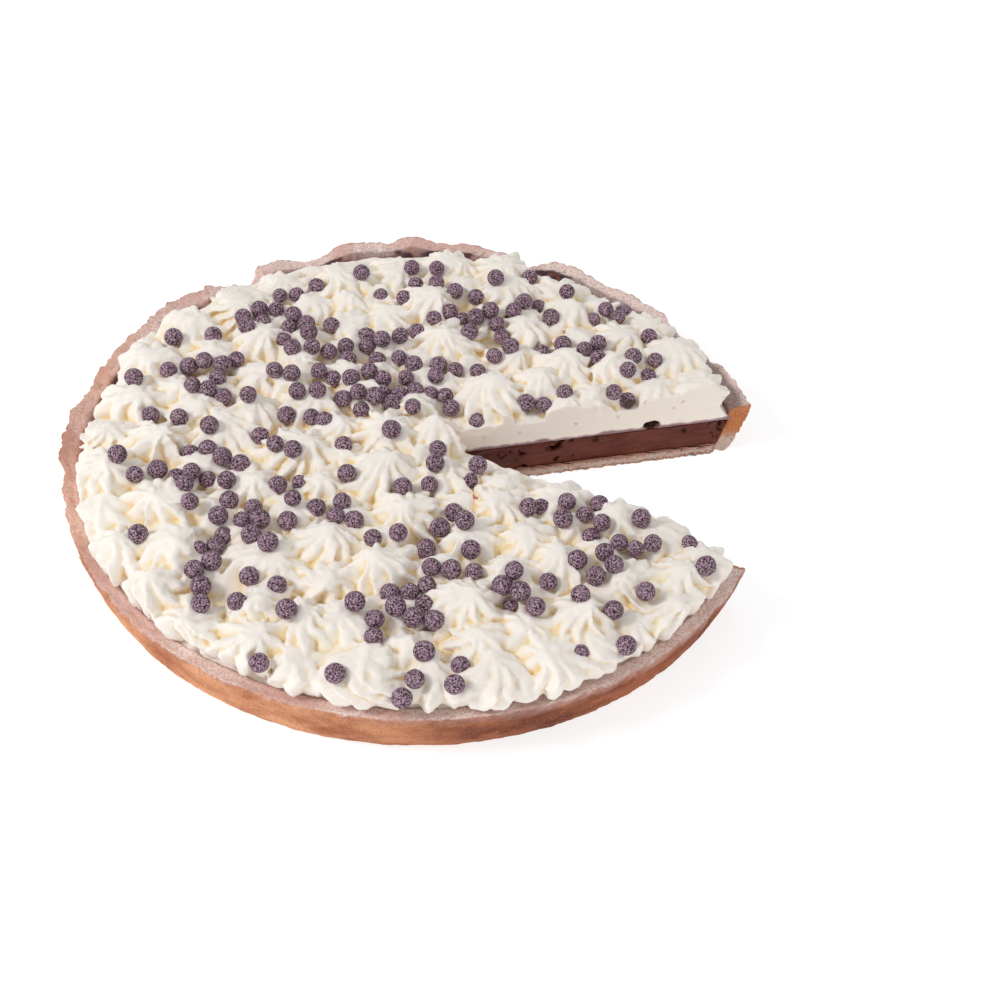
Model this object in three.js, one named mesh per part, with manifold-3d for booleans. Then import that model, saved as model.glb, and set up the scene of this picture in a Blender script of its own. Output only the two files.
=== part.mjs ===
// A round chocolate tart with one slice cut out of it: a shortcrust shell, a layer of set
// chocolate, and whipped cream piped in stars and strewn with small frosted chocolate pearls.
// Millimetres, +Z up. The origin lies on the tart's axis, on the surface that it stands on,
// and the missing slice opens towards +X.

import * as THREE from "three";
import { mergeVertices } from "three/addons/utils/BufferGeometryUtils.js";
import Module from "manifold-3d";

const wasm = await Module();
wasm.setup();

// Shell: a flat base and a wall that flares out to a flat-topped rim.
const RIM_RADIUS = 138;
const FOOT_RADIUS = 132.5;
const RIM_HEIGHT = 21;
const RIM_WIDTH = 6.5;
const BASE_THICKNESS = 4.5;
const EDGE_ROUNDING = 1.6;
const ROUND_STEPS = 90;
const CREAM_ROUND_STEPS = 60;

// The far side of the rim was crimped by hand: [degrees, how much the rim swells there].
// Half of a swelling goes outwards and half upwards. The near side is almost even.
const RIM_SWELLS = [
  [-30, 0], [14, 5], [20, 5], [27, 1], [33, 0], [41, 5], [52, 4], [63, 8], [70, -1], [75, 5],
  [82, 8], [87, 6], [92, 10], [97, 6], [104, 8], [112, -1], [119, 5], [122, 5], [125, -5],
  [129, -2], [134, 5], [144, 7], [150, 4], [161, 3], [168, 1], [175, 4], [184, 4], [189, -1],
  [215, 0], [331, 0],
];
const SWELL_OUTWARDS = 0.5;
const SWELL_UPWARDS = 0.45;
const NEAR_SIDE_WAVES = 0.35;

// Layers. Neighbouring solids stay a small gap apart.
const GAP = 0.3;
const CHOCOLATE_TOP = 16.5;
const CREAM_TOP = 27.5;
const CREAM_EDGE_TOP = 21;
const CREAM_SHOULDER = 18;

// The missing slice is a wedge whose point lies a little off the axis.
const SLICE_POINT = { x: 6, y: -2 };
const SLICE_FROM = deg(-28.5);
const SLICE_TO = deg(12.5);
const SLICE_REACH = 220;
const TOOL_MARGIN = 20;

// The photo shows each star along a line of sight that starts here, and the star is listed by the
// x and y at which that line meets the sight level.
const SIGHT_FROM = { x: 0, y: -441.1, z: 406.7 };
const SIGHT_LEVEL = 34;

// Piped stars, as [x, y, radius].
const STARS = [
  [-59, 90, 14], [-34, 94, 16], [-13, 101, 14], [-78, 72, 16], [-95, 56, 16], [-108, 34, 15],
  [-112, 11, 15], [-67, 49, 14], [-47, 75, 11], [-29, 63, 12], [-13, 69, 12], [2, 80, 16],
  [-50, 38, 13], [-32, 30, 12], [-12, 49, 11], [-44, 10, 13], [-65, 3, 13], [-88, 5, 13],
  [-66, 26, 12], [-98, 17, 12], [-13, -8, 17], [-47, -20, 17], [-118, -12, 13], [-100, -15, 15],
  [-115, -34, 15], [-74, -9, 15], [-80, -29, 13], [-112, -53, 14], [-92, -48, 15],
  [-63, -39, 14], [-15, -33, 16], [-34, -36, 12], [-104, -73, 13], [-86, -70, 14],
  [-74, -54, 11], [-54, -78, 17], [-33, -68, 14], [-31, -86, 13], [-11, -80, 14], [-89, -91, 14],
  [-74, -108, 14], [-55, -114, 15], [-37, -108, 13], [-37, -127, 13], [-17, -129, 15],
  [-22, -105, 15], [-52, -97, 13], [20, -64, 16], [31, -47, 14], [6, -7, 13], [31, -34, 11],
  [9, -32, 13], [-2, -52, 15], [52, -43, 13], [41, -66, 14], [55, -54, 12], [74, -54, 13],
  [87, -60, 13], [100, -76, 13], [76, -82, 12], [91, -83, 13], [86, -98, 14], [73, -108, 11],
  [62, -114, 12], [46, -120, 17], [25, -130, 15], [15, -96, 16], [22, -112, 13], [38, -105, 13],
  [55, -101, 13], [51, -78, 14], [5, -130, 11], [-1, -116, 11], [10, 106, 15], [34, 107, 15],
  [60, 90, 14], [37, 86, 15], [11, 54, 17], [45, 63, 14], [61, 72, 13], [76, 80, 12],
  [96, 71, 12], [83, 60, 13], [106, 47, 16], [113, 26, 14], [59, 36, 15], [80, 33, 13],
  [28, 17, 16], [48, 24, 13], [70, 20, 12], [-1, 28, 11], [20, 36, 10], [-33, 47, 10],
  [-84, 40, 12], [-48, 55, 11], [-22, 16, 11], [95, 24, 12], [33, -84, 13],
];
const STAR_MIDDLE = 6;
const STAR_HEIGHT_SHARE = 0.86;
const STAR_TALLEST = 13;
const STAR_SINK = 3.5;
const LARGE_STAR = 17;
const STAR_GROOVE = 0.76;
const STAR_SHOULDER = { radius: 0.8, height: 0.62 };
const STAR_HEIGHTS = [0.8, 1.12];
const STAR_LEAN = 3.2;
const STAR_TWIST = 0.5;
const STAR_SEED = 4021;

// Chocolate pearls: clumps that rolled together, as [x, y, how many], and single ones.
const PEARL_RADIUS = 3.5;
const PEARL_SIZE_SPREAD = 0.08;
const PEARL_SINK = 1.5;
const PEARL_CORNERS = 1.3;
const PEARL_CLUMPS = [
  [-66, 65, 7], [-52, 50, 7], [-33, 38, 3], [-21, 45, 3], [-6, 51, 2], [-21, 17, 9],
  [-4, 10, 7], [-5, 29, 3], [7, 27, 3], [-82, 29, 5], [-83, 12, 4], [-80, -30, 5],
  [-82, -42, 5], [-70, -56, 2], [-47, -45, 3], [-29, -56, 4], [-58, -64, 6], [-73, -79, 5],
  [-74, -98, 2], [-1, -101, 7], [-14, -113, 2], [13, -60, 3], [10, -82, 4], [35, -95, 5],
  [43, -53, 2], [60, -56, 5], [73, -74, 6], [26, 60, 7], [8, 66, 2], [47, 71, 4],
  [82, 70, 4], [72, 43, 3], [90, 34, 4], [-55, -20, 3], [-36, -5, 2], [4, -22, 2],
];
const SINGLE_PEARLS = 28;
const PEARL_FIELD_RADIUS = 123;
const CLUMP_SPACING = 1.1;
const CLUMP_TURN = 2.4;
const NEIGHBOUR_SPACING = 1.9;
const SINGLE_SPACING = 2.6;
const MOST_TRIES = 4000;
const SLICE_CLEARANCE = 4;
const PEARL_SEED = 907;

function deg(degrees) {
  return (degrees * Math.PI) / 180;
}

// A repeatable stream of random numbers from 0 to 1.
function randomStream(seed) {
  let state = seed;
  const next = () => {
    state = (state * 16807) % 2147483647;
    return state / 2147483647;
  };
  return { next, between: (low, high) => low + (high - low) * next() };
}

function clamp01(value) {
  return Math.min(1, Math.max(0, value));
}

// How much the rim swells at an angle, eased from each listed swelling to the next.
function rimSwell(angle) {
  const degrees = ((((angle * 180) / Math.PI + 30) % 360) + 360) % 360 - 30;
  const next = RIM_SWELLS.findIndex(([at]) => at > degrees);
  const [from, swellFrom] = RIM_SWELLS[next - 1];
  const [to, swellTo] = RIM_SWELLS[next];
  const ease = 0.5 - 0.5 * Math.cos((Math.PI * (degrees - from)) / (to - from));
  return swellFrom + (swellTo - swellFrom) * ease + NEAR_SIDE_WAVES * Math.sin(13 * angle);
}

// The radius of the shell's inner face at a height.
function innerRadius(z) {
  const slope = (RIM_RADIUS - FOOT_RADIUS) / RIM_HEIGHT;
  return FOOT_RADIUS - RIM_WIDTH + slope * z;
}

function solidOf(geometry) {
  const bare = geometry.clone();
  bare.deleteAttribute("normal");
  bare.deleteAttribute("uv");
  const merged = mergeVertices(bare, 1e-4);
  return new wasm.Manifold(
    new wasm.Mesh({
      numProp: 3,
      vertProperties: Float32Array.from(merged.attributes.position.array),
      triVerts: Uint32Array.from(merged.index.array),
    }),
  );
}

function geometryOf(solid) {
  const mesh = solid.getMesh();
  return new THREE.BufferGeometry()
    .setAttribute("position", new THREE.BufferAttribute(mesh.vertProperties, 3))
    .setIndex(new THREE.BufferAttribute(mesh.triVerts, 1));
}

// The largest body of a solid: loose scraps and sealed hollows are dropped.
function mainBody(solid) {
  return solid.decompose().reduce((best, body) => (body.volume() > best.volume() ? body : best));
}

// A body turned round the Z axis from [radius, height] points that start and end on it.
function turned(profile, steps) {
  const points = profile.map(([radius, height]) => new THREE.Vector2(radius, height));
  return new THREE.LatheGeometry(points, steps).rotateX(Math.PI / 2);
}

// Moves each vertex of a geometry by a function of its place.
function reshape(geometry, move) {
  const position = geometry.attributes.position;
  const point = new THREE.Vector3();
  for (let i = 0; i < position.count; i++) {
    point.fromBufferAttribute(position, i);
    move(point);
    position.setXYZ(i, point.x, point.y, point.z);
  }
  return geometry;
}

function sliceTool() {
  const corner = (angle) => [
    SLICE_POINT.x + SLICE_REACH * Math.cos(angle),
    SLICE_POINT.y + SLICE_REACH * Math.sin(angle),
  ];
  const plan = new THREE.Shape();
  plan.moveTo(SLICE_POINT.x, SLICE_POINT.y);
  plan.lineTo(...corner(SLICE_FROM));
  plan.lineTo(...corner(SLICE_TO));
  plan.closePath();
  const depth = CREAM_TOP + STAR_TALLEST + 3 * TOOL_MARGIN;
  const prism = new THREE.ExtrudeGeometry(plan, { depth, bevelEnabled: false });
  return solidOf(prism.translate(0, 0, -TOOL_MARGIN));
}

// How far a point lies outside the missing slice, below 0 inside it.
function outsideSlice(x, y) {
  const [dx, dy] = [x - SLICE_POINT.x, y - SLICE_POINT.y];
  const pastFrom = Math.sin(SLICE_FROM) * dx - Math.cos(SLICE_FROM) * dy;
  const pastTo = Math.cos(SLICE_TO) * dy - Math.sin(SLICE_TO) * dx;
  return Math.max(pastFrom, pastTo);
}

function crustSolid() {
  const profile = [
    [0, 0],
    [FOOT_RADIUS - EDGE_ROUNDING, 0],
    [FOOT_RADIUS, EDGE_ROUNDING],
    [(FOOT_RADIUS + RIM_RADIUS) / 2 + 0.4, RIM_HEIGHT / 2],
    [RIM_RADIUS, RIM_HEIGHT - EDGE_ROUNDING],
    [RIM_RADIUS - EDGE_ROUNDING, RIM_HEIGHT],
    [innerRadius(RIM_HEIGHT) + EDGE_ROUNDING, RIM_HEIGHT],
    [innerRadius(RIM_HEIGHT - EDGE_ROUNDING), RIM_HEIGHT - EDGE_ROUNDING],
    [innerRadius(BASE_THICKNESS), BASE_THICKNESS],
    [0, BASE_THICKNESS],
  ];
  const shell = reshape(turned(profile, ROUND_STEPS), (point) => {
    const radius = Math.hypot(point.x, point.y);
    if (radius < innerRadius(0) || point.z < EDGE_ROUNDING / 2) return;
    const angle = Math.atan2(point.y, point.x);
    const upward = point.z / RIM_HEIGHT;
    const atRim = point.z > RIM_HEIGHT - 2 * EDGE_ROUNDING;
    const outside = radius > innerRadius(point.z) + RIM_WIDTH / 2;
    const swell = rimSwell(angle);
    const lift = atRim ? swell * SWELL_UPWARDS : 0;
    const alongSlope = innerRadius(point.z + lift) - innerRadius(point.z);
    const scale = 1 + (outside ? swell * SWELL_OUTWARDS * upward : alongSlope) / radius;
    point.x *= scale;
    point.y *= scale;
    point.z += lift;
  });
  return solidOf(shell);
}

function chocolateSolid() {
  const floor = BASE_THICKNESS + GAP;
  return solidOf(
    turned(
      [
        [0, floor],
        [innerRadius(floor) - GAP, floor],
        [innerRadius(CHOCOLATE_TOP) - GAP, CHOCOLATE_TOP],
        [0, CHOCOLATE_TOP],
      ],
      ROUND_STEPS,
    ),
  );
}

// The height of the cream between the stars, which falls off towards the rim.
function bedHeight(radius) {
  const edge = innerRadius(CREAM_EDGE_TOP);
  const fall = clamp01((radius - edge + CREAM_SHOULDER) / CREAM_SHOULDER);
  return CREAM_TOP - (CREAM_TOP - CREAM_EDGE_TOP) * fall * fall;
}

// The place at a height on the line of sight that meets the sight level at x and y.
function seenAt(x, y, height) {
  const share = (SIGHT_FROM.z - height) / (SIGHT_FROM.z - SIGHT_LEVEL);
  return [SIGHT_FROM.x + (x - SIGHT_FROM.x) * share, SIGHT_FROM.y + (y - SIGHT_FROM.y) * share];
}

// Where each star stands, and how large, tall, twisted and leaning it came out.
function starsPiped() {
  const random = randomStream(STAR_SEED);
  return STARS.map(([seenX, seenY, radius]) => {
    const [x, y] = seenAt(seenX, seenY, bedHeight(Math.hypot(seenX, seenY)) + STAR_MIDDLE);
    const usual = Math.min(STAR_TALLEST, STAR_HEIGHT_SHARE * radius);
    const height = usual * random.between(...STAR_HEIGHTS);
    const turn = random.between(0, 2 * Math.PI);
    const twist = random.between(-STAR_TWIST, STAR_TWIST);
    const leanAngle = random.between(0, 2 * Math.PI);
    const lean = random.between(0.2, 1) * STAR_LEAN;
    return { x, y, radius, height, turn, twist, leanAngle, lean };
  });
}

// A star of cream: plump ridges, with sharp grooves that run straight from its foot to its
// point. Its vertices are the middle of its foot, its point, and three for each ridge.
function starSolid(star) {
  const [wide, tall] = [star.radius, star.height];
  const ridges = wide < LARGE_STAR ? 5 : 6;
  const step = Math.PI / ridges;
  const vertices = [];
  const addPoint = (radius, angle, height) => {
    const up = clamp01(height / tall);
    const turned = angle + star.turn + star.twist * up;
    const lean = star.lean * up * up;
    vertices.push(
      radius * Math.cos(turned) + lean * Math.cos(star.leanAngle),
      radius * Math.sin(turned) + lean * Math.sin(star.leanAngle),
      height,
    );
  };
  const [foot, tip] = [0, 1];
  addPoint(0, 0, -STAR_SINK);
  addPoint(0, 0, tall);
  const faces = [];
  for (let i = 0; i < ridges; i++) {
    const angle = 2 * step * i;
    addPoint(wide, angle, -STAR_SINK);
    addPoint(wide * STAR_SHOULDER.radius, angle, tall * STAR_SHOULDER.height);
    addPoint(wide * STAR_GROOVE, angle + step, -STAR_SINK);
    const [ridge, shoulder, groove] = [2 + 3 * i, 3 + 3 * i, 4 + 3 * i];
    const nextRidge = 2 + 3 * ((i + 1) % ridges);
    const nextShoulder = nextRidge + 1;
    faces.push(ridge, groove, shoulder, groove, tip, shoulder);
    faces.push(groove, nextShoulder, tip, groove, nextRidge, nextShoulder);
    faces.push(foot, groove, ridge, foot, nextRidge, groove);
  }
  const body = new THREE.BufferGeometry()
    .setAttribute("position", new THREE.Float32BufferAttribute(vertices, 3))
    .setIndex(faces);
  return solidOf(body.translate(star.x, star.y, bedHeight(Math.hypot(star.x, star.y))));
}

function bedSolid() {
  const floor = CHOCOLATE_TOP + GAP;
  const edge = innerRadius(CREAM_EDGE_TOP) - GAP;
  return solidOf(
    turned(
      [
        [0, floor],
        [innerRadius(floor) - GAP, floor],
        [edge, CREAM_EDGE_TOP],
        [edge - CREAM_SHOULDER / 2, bedHeight(edge - CREAM_SHOULDER / 2)],
        [edge - CREAM_SHOULDER, CREAM_TOP],
        [0, CREAM_TOP],
      ],
      CREAM_ROUND_STEPS,
    ),
  );
}

// The room that the cream has: it leans on the shell's inner wall and keeps to its slope above.
function creamRoom() {
  const floor = CHOCOLATE_TOP + GAP;
  const top = CREAM_TOP + 2 * STAR_TALLEST;
  return solidOf(
    turned(
      [
        [0, floor],
        [innerRadius(floor) - GAP, floor],
        [innerRadius(top) - GAP, top],
        [0, top],
      ],
      CREAM_ROUND_STEPS,
    ),
  );
}

// Where the pearls lie, seen from above: first the clumps, then single ones in between.
function pearlsStrewn() {
  const random = randomStream(PEARL_SEED);
  const pearls = [];
  const place = (x, y, spacing) => {
    const near = (pearl) => Math.hypot(pearl.x - x, pearl.y - y) < spacing * PEARL_RADIUS;
    if (Math.hypot(x, y) > PEARL_FIELD_RADIUS || outsideSlice(x, y) < SLICE_CLEARANCE) return false;
    if (pearls.some(near)) return false;
    const size = 1 + random.between(-PEARL_SIZE_SPREAD, PEARL_SIZE_SPREAD);
    pearls.push({ x, y, radius: PEARL_RADIUS * size });
    return true;
  };
  for (const [x, y, count] of PEARL_CLUMPS) {
    const start = random.between(0, 2 * Math.PI);
    let [placed, turn] = [0, 0];
    while (placed < count && turn < 4 * count) {
      const angle = start + turn * CLUMP_TURN;
      const away = CLUMP_SPACING * PEARL_RADIUS * Math.sqrt(turn + 0.4) + random.between(0, 1);
      const beside = [x + away * Math.cos(angle), y + away * Math.sin(angle)];
      if (place(...beside, NEIGHBOUR_SPACING)) placed += 1;
      turn += 1;
    }
  }
  let [singles, tries] = [0, 0];
  while (singles < SINGLE_PEARLS && tries < MOST_TRIES) {
    const radius = PEARL_FIELD_RADIUS * Math.sqrt(random.next());
    const angle = random.between(0, 2 * Math.PI);
    if (place(radius * Math.cos(angle), radius * Math.sin(angle), SINGLE_SPACING)) singles += 1;
    tries += 1;
  }
  return pearls;
}

// Each pearl lies with one of its eight faces on the cream below it, square to the slope there
// and sunk in a little. Its corners stand out so far that its volume is about a ball's.
function pearlSolids(cream) {
  const surface = new THREE.Mesh(geometryOf(cream), new THREE.MeshBasicMaterial());
  const above = CREAM_TOP + 3 * STAR_TALLEST;
  const ray = new THREE.Raycaster();
  const up = new THREE.Vector3(0, 0, 1);
  return pearlsStrewn().map(({ x, y, radius }) => {
    ray.set(new THREE.Vector3(x, y, above), new THREE.Vector3(0, 0, -1));
    const [hit] = ray.intersectObject(surface);
    const slope = new THREE.Quaternion().setFromUnitVectors(up, hit.face.normal);
    const ball = new THREE.OctahedronGeometry(radius * PEARL_CORNERS, 0)
      .rotateZ(Math.PI / 4)
      .rotateY(-Math.atan(Math.SQRT2))
      .rotateZ(x);
    const middle = hit.point.addScaledVector(hit.face.normal, radius - PEARL_SINK);
    return solidOf(ball.applyQuaternion(slope).translate(middle.x, middle.y, middle.z));
  });
}

function creamSolid(slice) {
  const piped = wasm.Manifold.union([bedSolid(), ...starsPiped().map(starSolid)]);
  const cream = mainBody(piped.intersect(creamRoom()).subtract(slice));
  return mainBody(wasm.Manifold.union([cream, ...pearlSolids(cream)]));
}

function named(name, solid, color, roughness) {
  const finish = new THREE.MeshStandardMaterial({ color, roughness, metalness: 0 });
  const mesh = new THREE.Mesh(geometryOf(solid), finish);
  mesh.name = name;
  return mesh;
}

const slice = sliceTool();
const tart = new THREE.Group();
tart.add(
  named("crust", mainBody(crustSolid().subtract(slice)), 0xc08f6f, 0.9),
  named("chocolate_layer", mainBody(chocolateSolid().subtract(slice)), 0x54302a, 0.4),
  named("piped_cream", creamSolid(slice), 0xf7efdc, 0.55),
);

export default tart;
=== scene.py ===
# A chocolate tart with one slice cut out: a crumbly shortcrust shell, set chocolate, and
# whipped cream piped in stars and strewn with frosted chocolate pearls.
# Lengths are in millimetres until a mesh is made, and angles are in radians, unless a comment
# says otherwise. Random draws come in a fixed order, so each run gives the same tart.

import math

import bpy
import numpy as np
from mathutils import Matrix, Vector, noise
from mathutils.bvhtree import BVHTree


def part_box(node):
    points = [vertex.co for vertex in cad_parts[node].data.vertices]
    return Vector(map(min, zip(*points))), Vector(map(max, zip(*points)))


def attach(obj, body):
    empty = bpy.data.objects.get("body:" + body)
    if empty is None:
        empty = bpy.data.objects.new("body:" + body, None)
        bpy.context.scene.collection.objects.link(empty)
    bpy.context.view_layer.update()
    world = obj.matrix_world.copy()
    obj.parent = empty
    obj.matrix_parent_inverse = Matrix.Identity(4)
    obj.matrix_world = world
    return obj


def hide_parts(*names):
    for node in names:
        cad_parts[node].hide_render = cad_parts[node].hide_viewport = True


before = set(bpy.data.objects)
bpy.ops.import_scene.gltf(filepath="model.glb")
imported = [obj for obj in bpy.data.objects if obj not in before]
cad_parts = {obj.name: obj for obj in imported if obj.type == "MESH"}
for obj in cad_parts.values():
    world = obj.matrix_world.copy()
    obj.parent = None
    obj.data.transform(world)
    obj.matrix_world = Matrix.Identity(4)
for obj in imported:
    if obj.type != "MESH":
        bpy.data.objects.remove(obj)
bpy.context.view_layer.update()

MM = 0.001

# Shell
RIM_RADIUS = 138.0
FOOT_RADIUS = 132.5
RIM_HEIGHT = 21.0
WALL_SLOPE = (RIM_RADIUS - FOOT_RADIUS) / RIM_HEIGHT
RIM_WIDTH = 6.5
BASE_THICKNESS = 4.5
EDGE_ROUNDING = 1.6
# How the rim swells round the tart, as (degrees, swelling)
RIM_SWELLS = (
    (-30, 0), (14, 5), (20, 5), (27, 1), (33, 0), (41, 5), (52, 4), (63, 8), (70, -1), (75, 5),
    (82, 8), (87, 6), (92, 10), (97, 6), (104, 8), (112, -1), (119, 5), (122, 5), (125, -5),
    (129, -2), (134, 5), (144, 7), (150, 4), (161, 3), (168, 1), (175, 4), (184, 4), (189, -1),
    (215, 0), (331, 0),
)
# Millimetres for each unit of swelling
SWELL_OUTWARDS = 0.5
SWELL_UPWARDS = 0.45
LIFT_STARTS = 8.0

# Layers
_, chocolate_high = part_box("chocolate_layer")
CHOCOLATE_TOP = (chocolate_high / MM).z
CREAM_TOP = 27.5
CREAM_EDGE_TOP = 21.0
CREAM_SHOULDER = 18.0

# Missing slice
SLICE_POINT = np.array((6.0, -2.0))
SLICE_FROM = math.radians(-28.5)
SLICE_TO = math.radians(12.5)
SLICE_MIDDLE_SLOPE = math.tan((SLICE_FROM + SLICE_TO) / 2)
# Directions that lead from each cut face into the tart
INTO_FAR_SIDE = np.array((-math.sin(SLICE_TO), math.cos(SLICE_TO)))
INTO_NEAR_SIDE = np.array((math.sin(SLICE_FROM), -math.cos(SLICE_FROM)))

# Where the photo shows a thing: the point at which its line of sight meets this level.
SIGHT_FROM = np.array((0.0, -441.1, 406.7))
SIGHT_LEVEL = 34.0

# Piped stars, as (x, y, radius), with x and y where the photo shows the star's middle
STARS = (
    (-59, 90, 14), (-34, 94, 16), (-13, 101, 14), (-78, 72, 16), (-95, 56, 16), (-108, 34, 15),
    (-112, 11, 15), (-67, 49, 14), (-47, 75, 11), (-29, 63, 12), (-13, 69, 12), (2, 80, 16),
    (-50, 38, 13), (-32, 30, 12), (-12, 49, 11), (-44, 10, 13), (-65, 3, 13), (-88, 5, 13),
    (-66, 26, 12), (-98, 17, 12), (-13, -8, 17), (-47, -20, 17), (-118, -12, 13),
    (-100, -15, 15), (-115, -34, 15), (-74, -9, 15), (-80, -29, 13), (-112, -53, 14),
    (-92, -48, 15), (-63, -39, 14), (-15, -33, 16), (-34, -36, 12), (-104, -73, 13),
    (-86, -70, 14), (-74, -54, 11), (-54, -78, 17), (-33, -68, 14), (-31, -86, 13),
    (-11, -80, 14), (-89, -91, 14), (-74, -108, 14), (-55, -114, 15), (-37, -108, 13),
    (-37, -127, 13), (-17, -129, 15), (-22, -105, 15), (-52, -97, 13), (20, -64, 16),
    (31, -47, 14), (6, -7, 13), (31, -34, 11), (9, -32, 13), (-2, -52, 15), (52, -43, 13),
    (41, -66, 14), (55, -54, 12), (74, -54, 13), (87, -60, 13), (100, -76, 13), (76, -82, 12),
    (91, -83, 13), (86, -98, 14), (73, -108, 11), (62, -114, 12), (46, -120, 17),
    (25, -130, 15), (15, -96, 16), (22, -112, 13), (38, -105, 13), (55, -101, 13),
    (51, -78, 14), (5, -130, 11), (-1, -116, 11), (10, 106, 15), (34, 107, 15), (60, 90, 14),
    (37, 86, 15), (11, 54, 17), (45, 63, 14), (61, 72, 13), (76, 80, 12), (96, 71, 12),
    (83, 60, 13), (106, 47, 16), (113, 26, 14), (59, 36, 15), (80, 33, 13), (28, 17, 16),
    (48, 24, 13), (70, 20, 12), (-1, 28, 11), (20, 36, 10), (-33, 47, 10), (-84, 40, 12),
    (-48, 55, 11), (-22, 16, 11), (95, 24, 12), (33, -84, 13),
)
# Small curls of cream that fill the gaps between the stars, in the same way
SMALL_CURLS = (
    (36, 43, 12), (-46, -51, 12), (-2, 11, 11), (-22, -53, 12), (26, 69, 11), (-82, 21, 11),
    (66, 55, 11), (20, -27, 8), (-16, 33, 10), (-4, -100, 11), (-34, -5, 11), (66, -68, 10),
    (18, 91, 11), (-60, 65, 10), (8, -78, 11), (-60, -59, 11), (-18, 83, 10), (69, -52, 8),
    (-74, -82, 11), (58, 11, 10), (-28, -21, 11), (14, -47, 10), (12, 25, 10), (-111, 49, 9),
    (2, -19, 10), (-98, -33, 10), (-52, 23, 10), (88, 45, 10), (64, -88, 10), (-14, -65, 10),
    (-2, 41, 10), (-32, 77, 9), (42, -90, 10), (-66, -24, 10), (97, -68, 8), (-94, -8, 9),
)
STAR_MIDDLE = 6.0
STAR_HEIGHT_SHARE = 0.86
STAR_TALLEST = 13.0
STAR_HEIGHTS = (0.8, 1.12)
STAR_LEAN = 3.2
STAR_LEAN_SHARES = (0.2, 1)
STAR_TWIST = 0.5
STAR_SEED = 4021

# Chocolate pearls, as (x, y) where the photo shows their middles
PEARL_RADIUS = 3.5
PEARL_SIZE_SPREAD = 0.08
PEARL_SINK = 1.1
PEARL_SEED = 907
PEARLS = (
    (-61, 80), (-54, 81), (-62, 70), (-68, 68), (-67, 63), (-75, 64), (-73, 58), (-54, 65),
    (-55, 59), (-49, 61), (-47, 55), (-57, 49), (-53, 44), (-45, 45), (-38, 42), (-31, 45),
    (-30, 38), (-23, 53), (-18, 51), (-9, 54), (-21, 47), (-18, 37), (-9, 39), (-3, 35),
    (-21, 30), (-28, 25), (-15, 24), (-6, 26), (-24, 16), (-18, 14), (-9, 16), (-2, 18), (3, 16),
    (10, 15), (12, 8), (-30, 12), (-13, 10), (-3, 8), (7, 35), (6, 28), (14, 32), (5, 67),
    (12, 72), (18, 66), (22, 69), (20, 58), (30, 71), (31, 65), (33, 57), (37, 49), (30, 42),
    (39, 74), (44, 81), (50, 77), (55, 70), (73, 69), (80, 76), (83, 72), (87, 75), (59, 51),
    (50, 45), (74, 52), (68, 48), (73, 43), (88, 44), (97, 42), (85, 35), (93, 31), (96, 58),
    (42, 12), (49, 11), (58, 19), (78, 20), (-27, 99), (-5, 104), (6, 104), (-3, 91), (6, 93),
    (14, 87), (23, 83), (32, 98), (47, 99), (63, 89), (-46, 88), (-38, 60), (-102, 49),
    (-86, 51), (-114, 22), (-101, 27), (-93, 30), (-88, 34), (-80, 32), (-75, 35), (-81, 23),
    (-90, 18), (-84, 16), (-78, 11), (-68, 13), (-59, 29), (-52, 27), (-41, 29), (-49, 16),
    (-41, 17), (-52, 1), (-104, -1), (-93, -2), (-81, -6), (-11, -6), (-61, -12), (-55, -16),
    (-48, -19), (-113, -24), (-105, -35), (-97, -32), (-86, -23), (-80, -20), (-74, -24),
    (-67, -28), (-85, -33), (-86, -39), (-71, -37), (-83, -49), (-69, -48), (-72, -56),
    (-60, -52), (-57, -58), (-47, -58), (-52, -39), (-44, -38), (-46, -46), (-37, -51),
    (-28, -48), (-29, -55), (-59, -65), (-53, -69), (-99, -66), (-72, -71), (-72, -79),
    (-77, -83), (-74, -91), (-73, -99), (-58, -86), (-48, -90), (-61, -98), (-44, -101),
    (-21, -97), (-27, -32), (7, -17), (6, -25), (4, -37), (-6, -39), (21, -28), (-7, -63),
    (-16, -66), (13, -52), (17, -56), (8, -60), (19, -71), (3, -71), (5, -80), (12, -81),
    (20, -82), (3, -89), (-2, -92), (-9, -93), (-7, -99), (-1, -104), (6, -105), (-14, -105),
    (-14, -113), (3, -119), (0, -131), (-4, -139), (15, -125), (13, -133), (-51, -125),
    (-26, -129), (41, -48), (55, -45), (53, -54), (61, -52), (67, -56), (82, -53), (73, -66),
    (78, -69), (85, -66), (67, -71), (70, -77), (63, -83), (57, -75), (57, -92), (103, -77),
    (80, -90), (68, -99), (71, -115), (34, -81), (30, -88), (36, -91), (41, -98), (46, -86),
)
# Pearls that the cream covers in part, or that others hide
HIDDEN_PEARLS = (
    (-2, 57), (-35, 24), (-14, 17), (-23, 5), (-18, 82), (-8, 81), (23, 31), (-29, -16),
    (-37, -2), (-42, 0), (-89, -36), (-78, -37), (-63, -58), (-24, -57), (-69, -67), (-76, -73),
    (20, -32), (3, -98), (45, -49), (63, -63), (67, -46), (98, -66), (55, -119), (33, -98),
)
# Pearls that the knife went through, in the far cut face
CUT_PEARLS = ((83, 15), (22, 0))


class RandomStream:
    """A repeatable stream of random numbers from 0 to 1."""

    def __init__(self, seed):
        self.state = seed

    def next(self):
        self.state = (self.state * 16807) % 2147483647
        return self.state / 2147483647

    def between(self, low, high):
        return low + (high - low) * self.next()


def clamp01(value):
    """The value, or 0 or 1 where it lies outside them."""
    return np.clip(value, 0.0, 1.0)


def smooth01(value):
    """Eases from 0 to 1 while the value goes from 0 to 1."""
    value = clamp01(value)
    return value * value * (3 - 2 * value)


def inner_radius(z):
    """The radius of the wall's inner face at height z."""
    return FOOT_RADIUS - RIM_WIDTH + WALL_SLOPE * z


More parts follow.
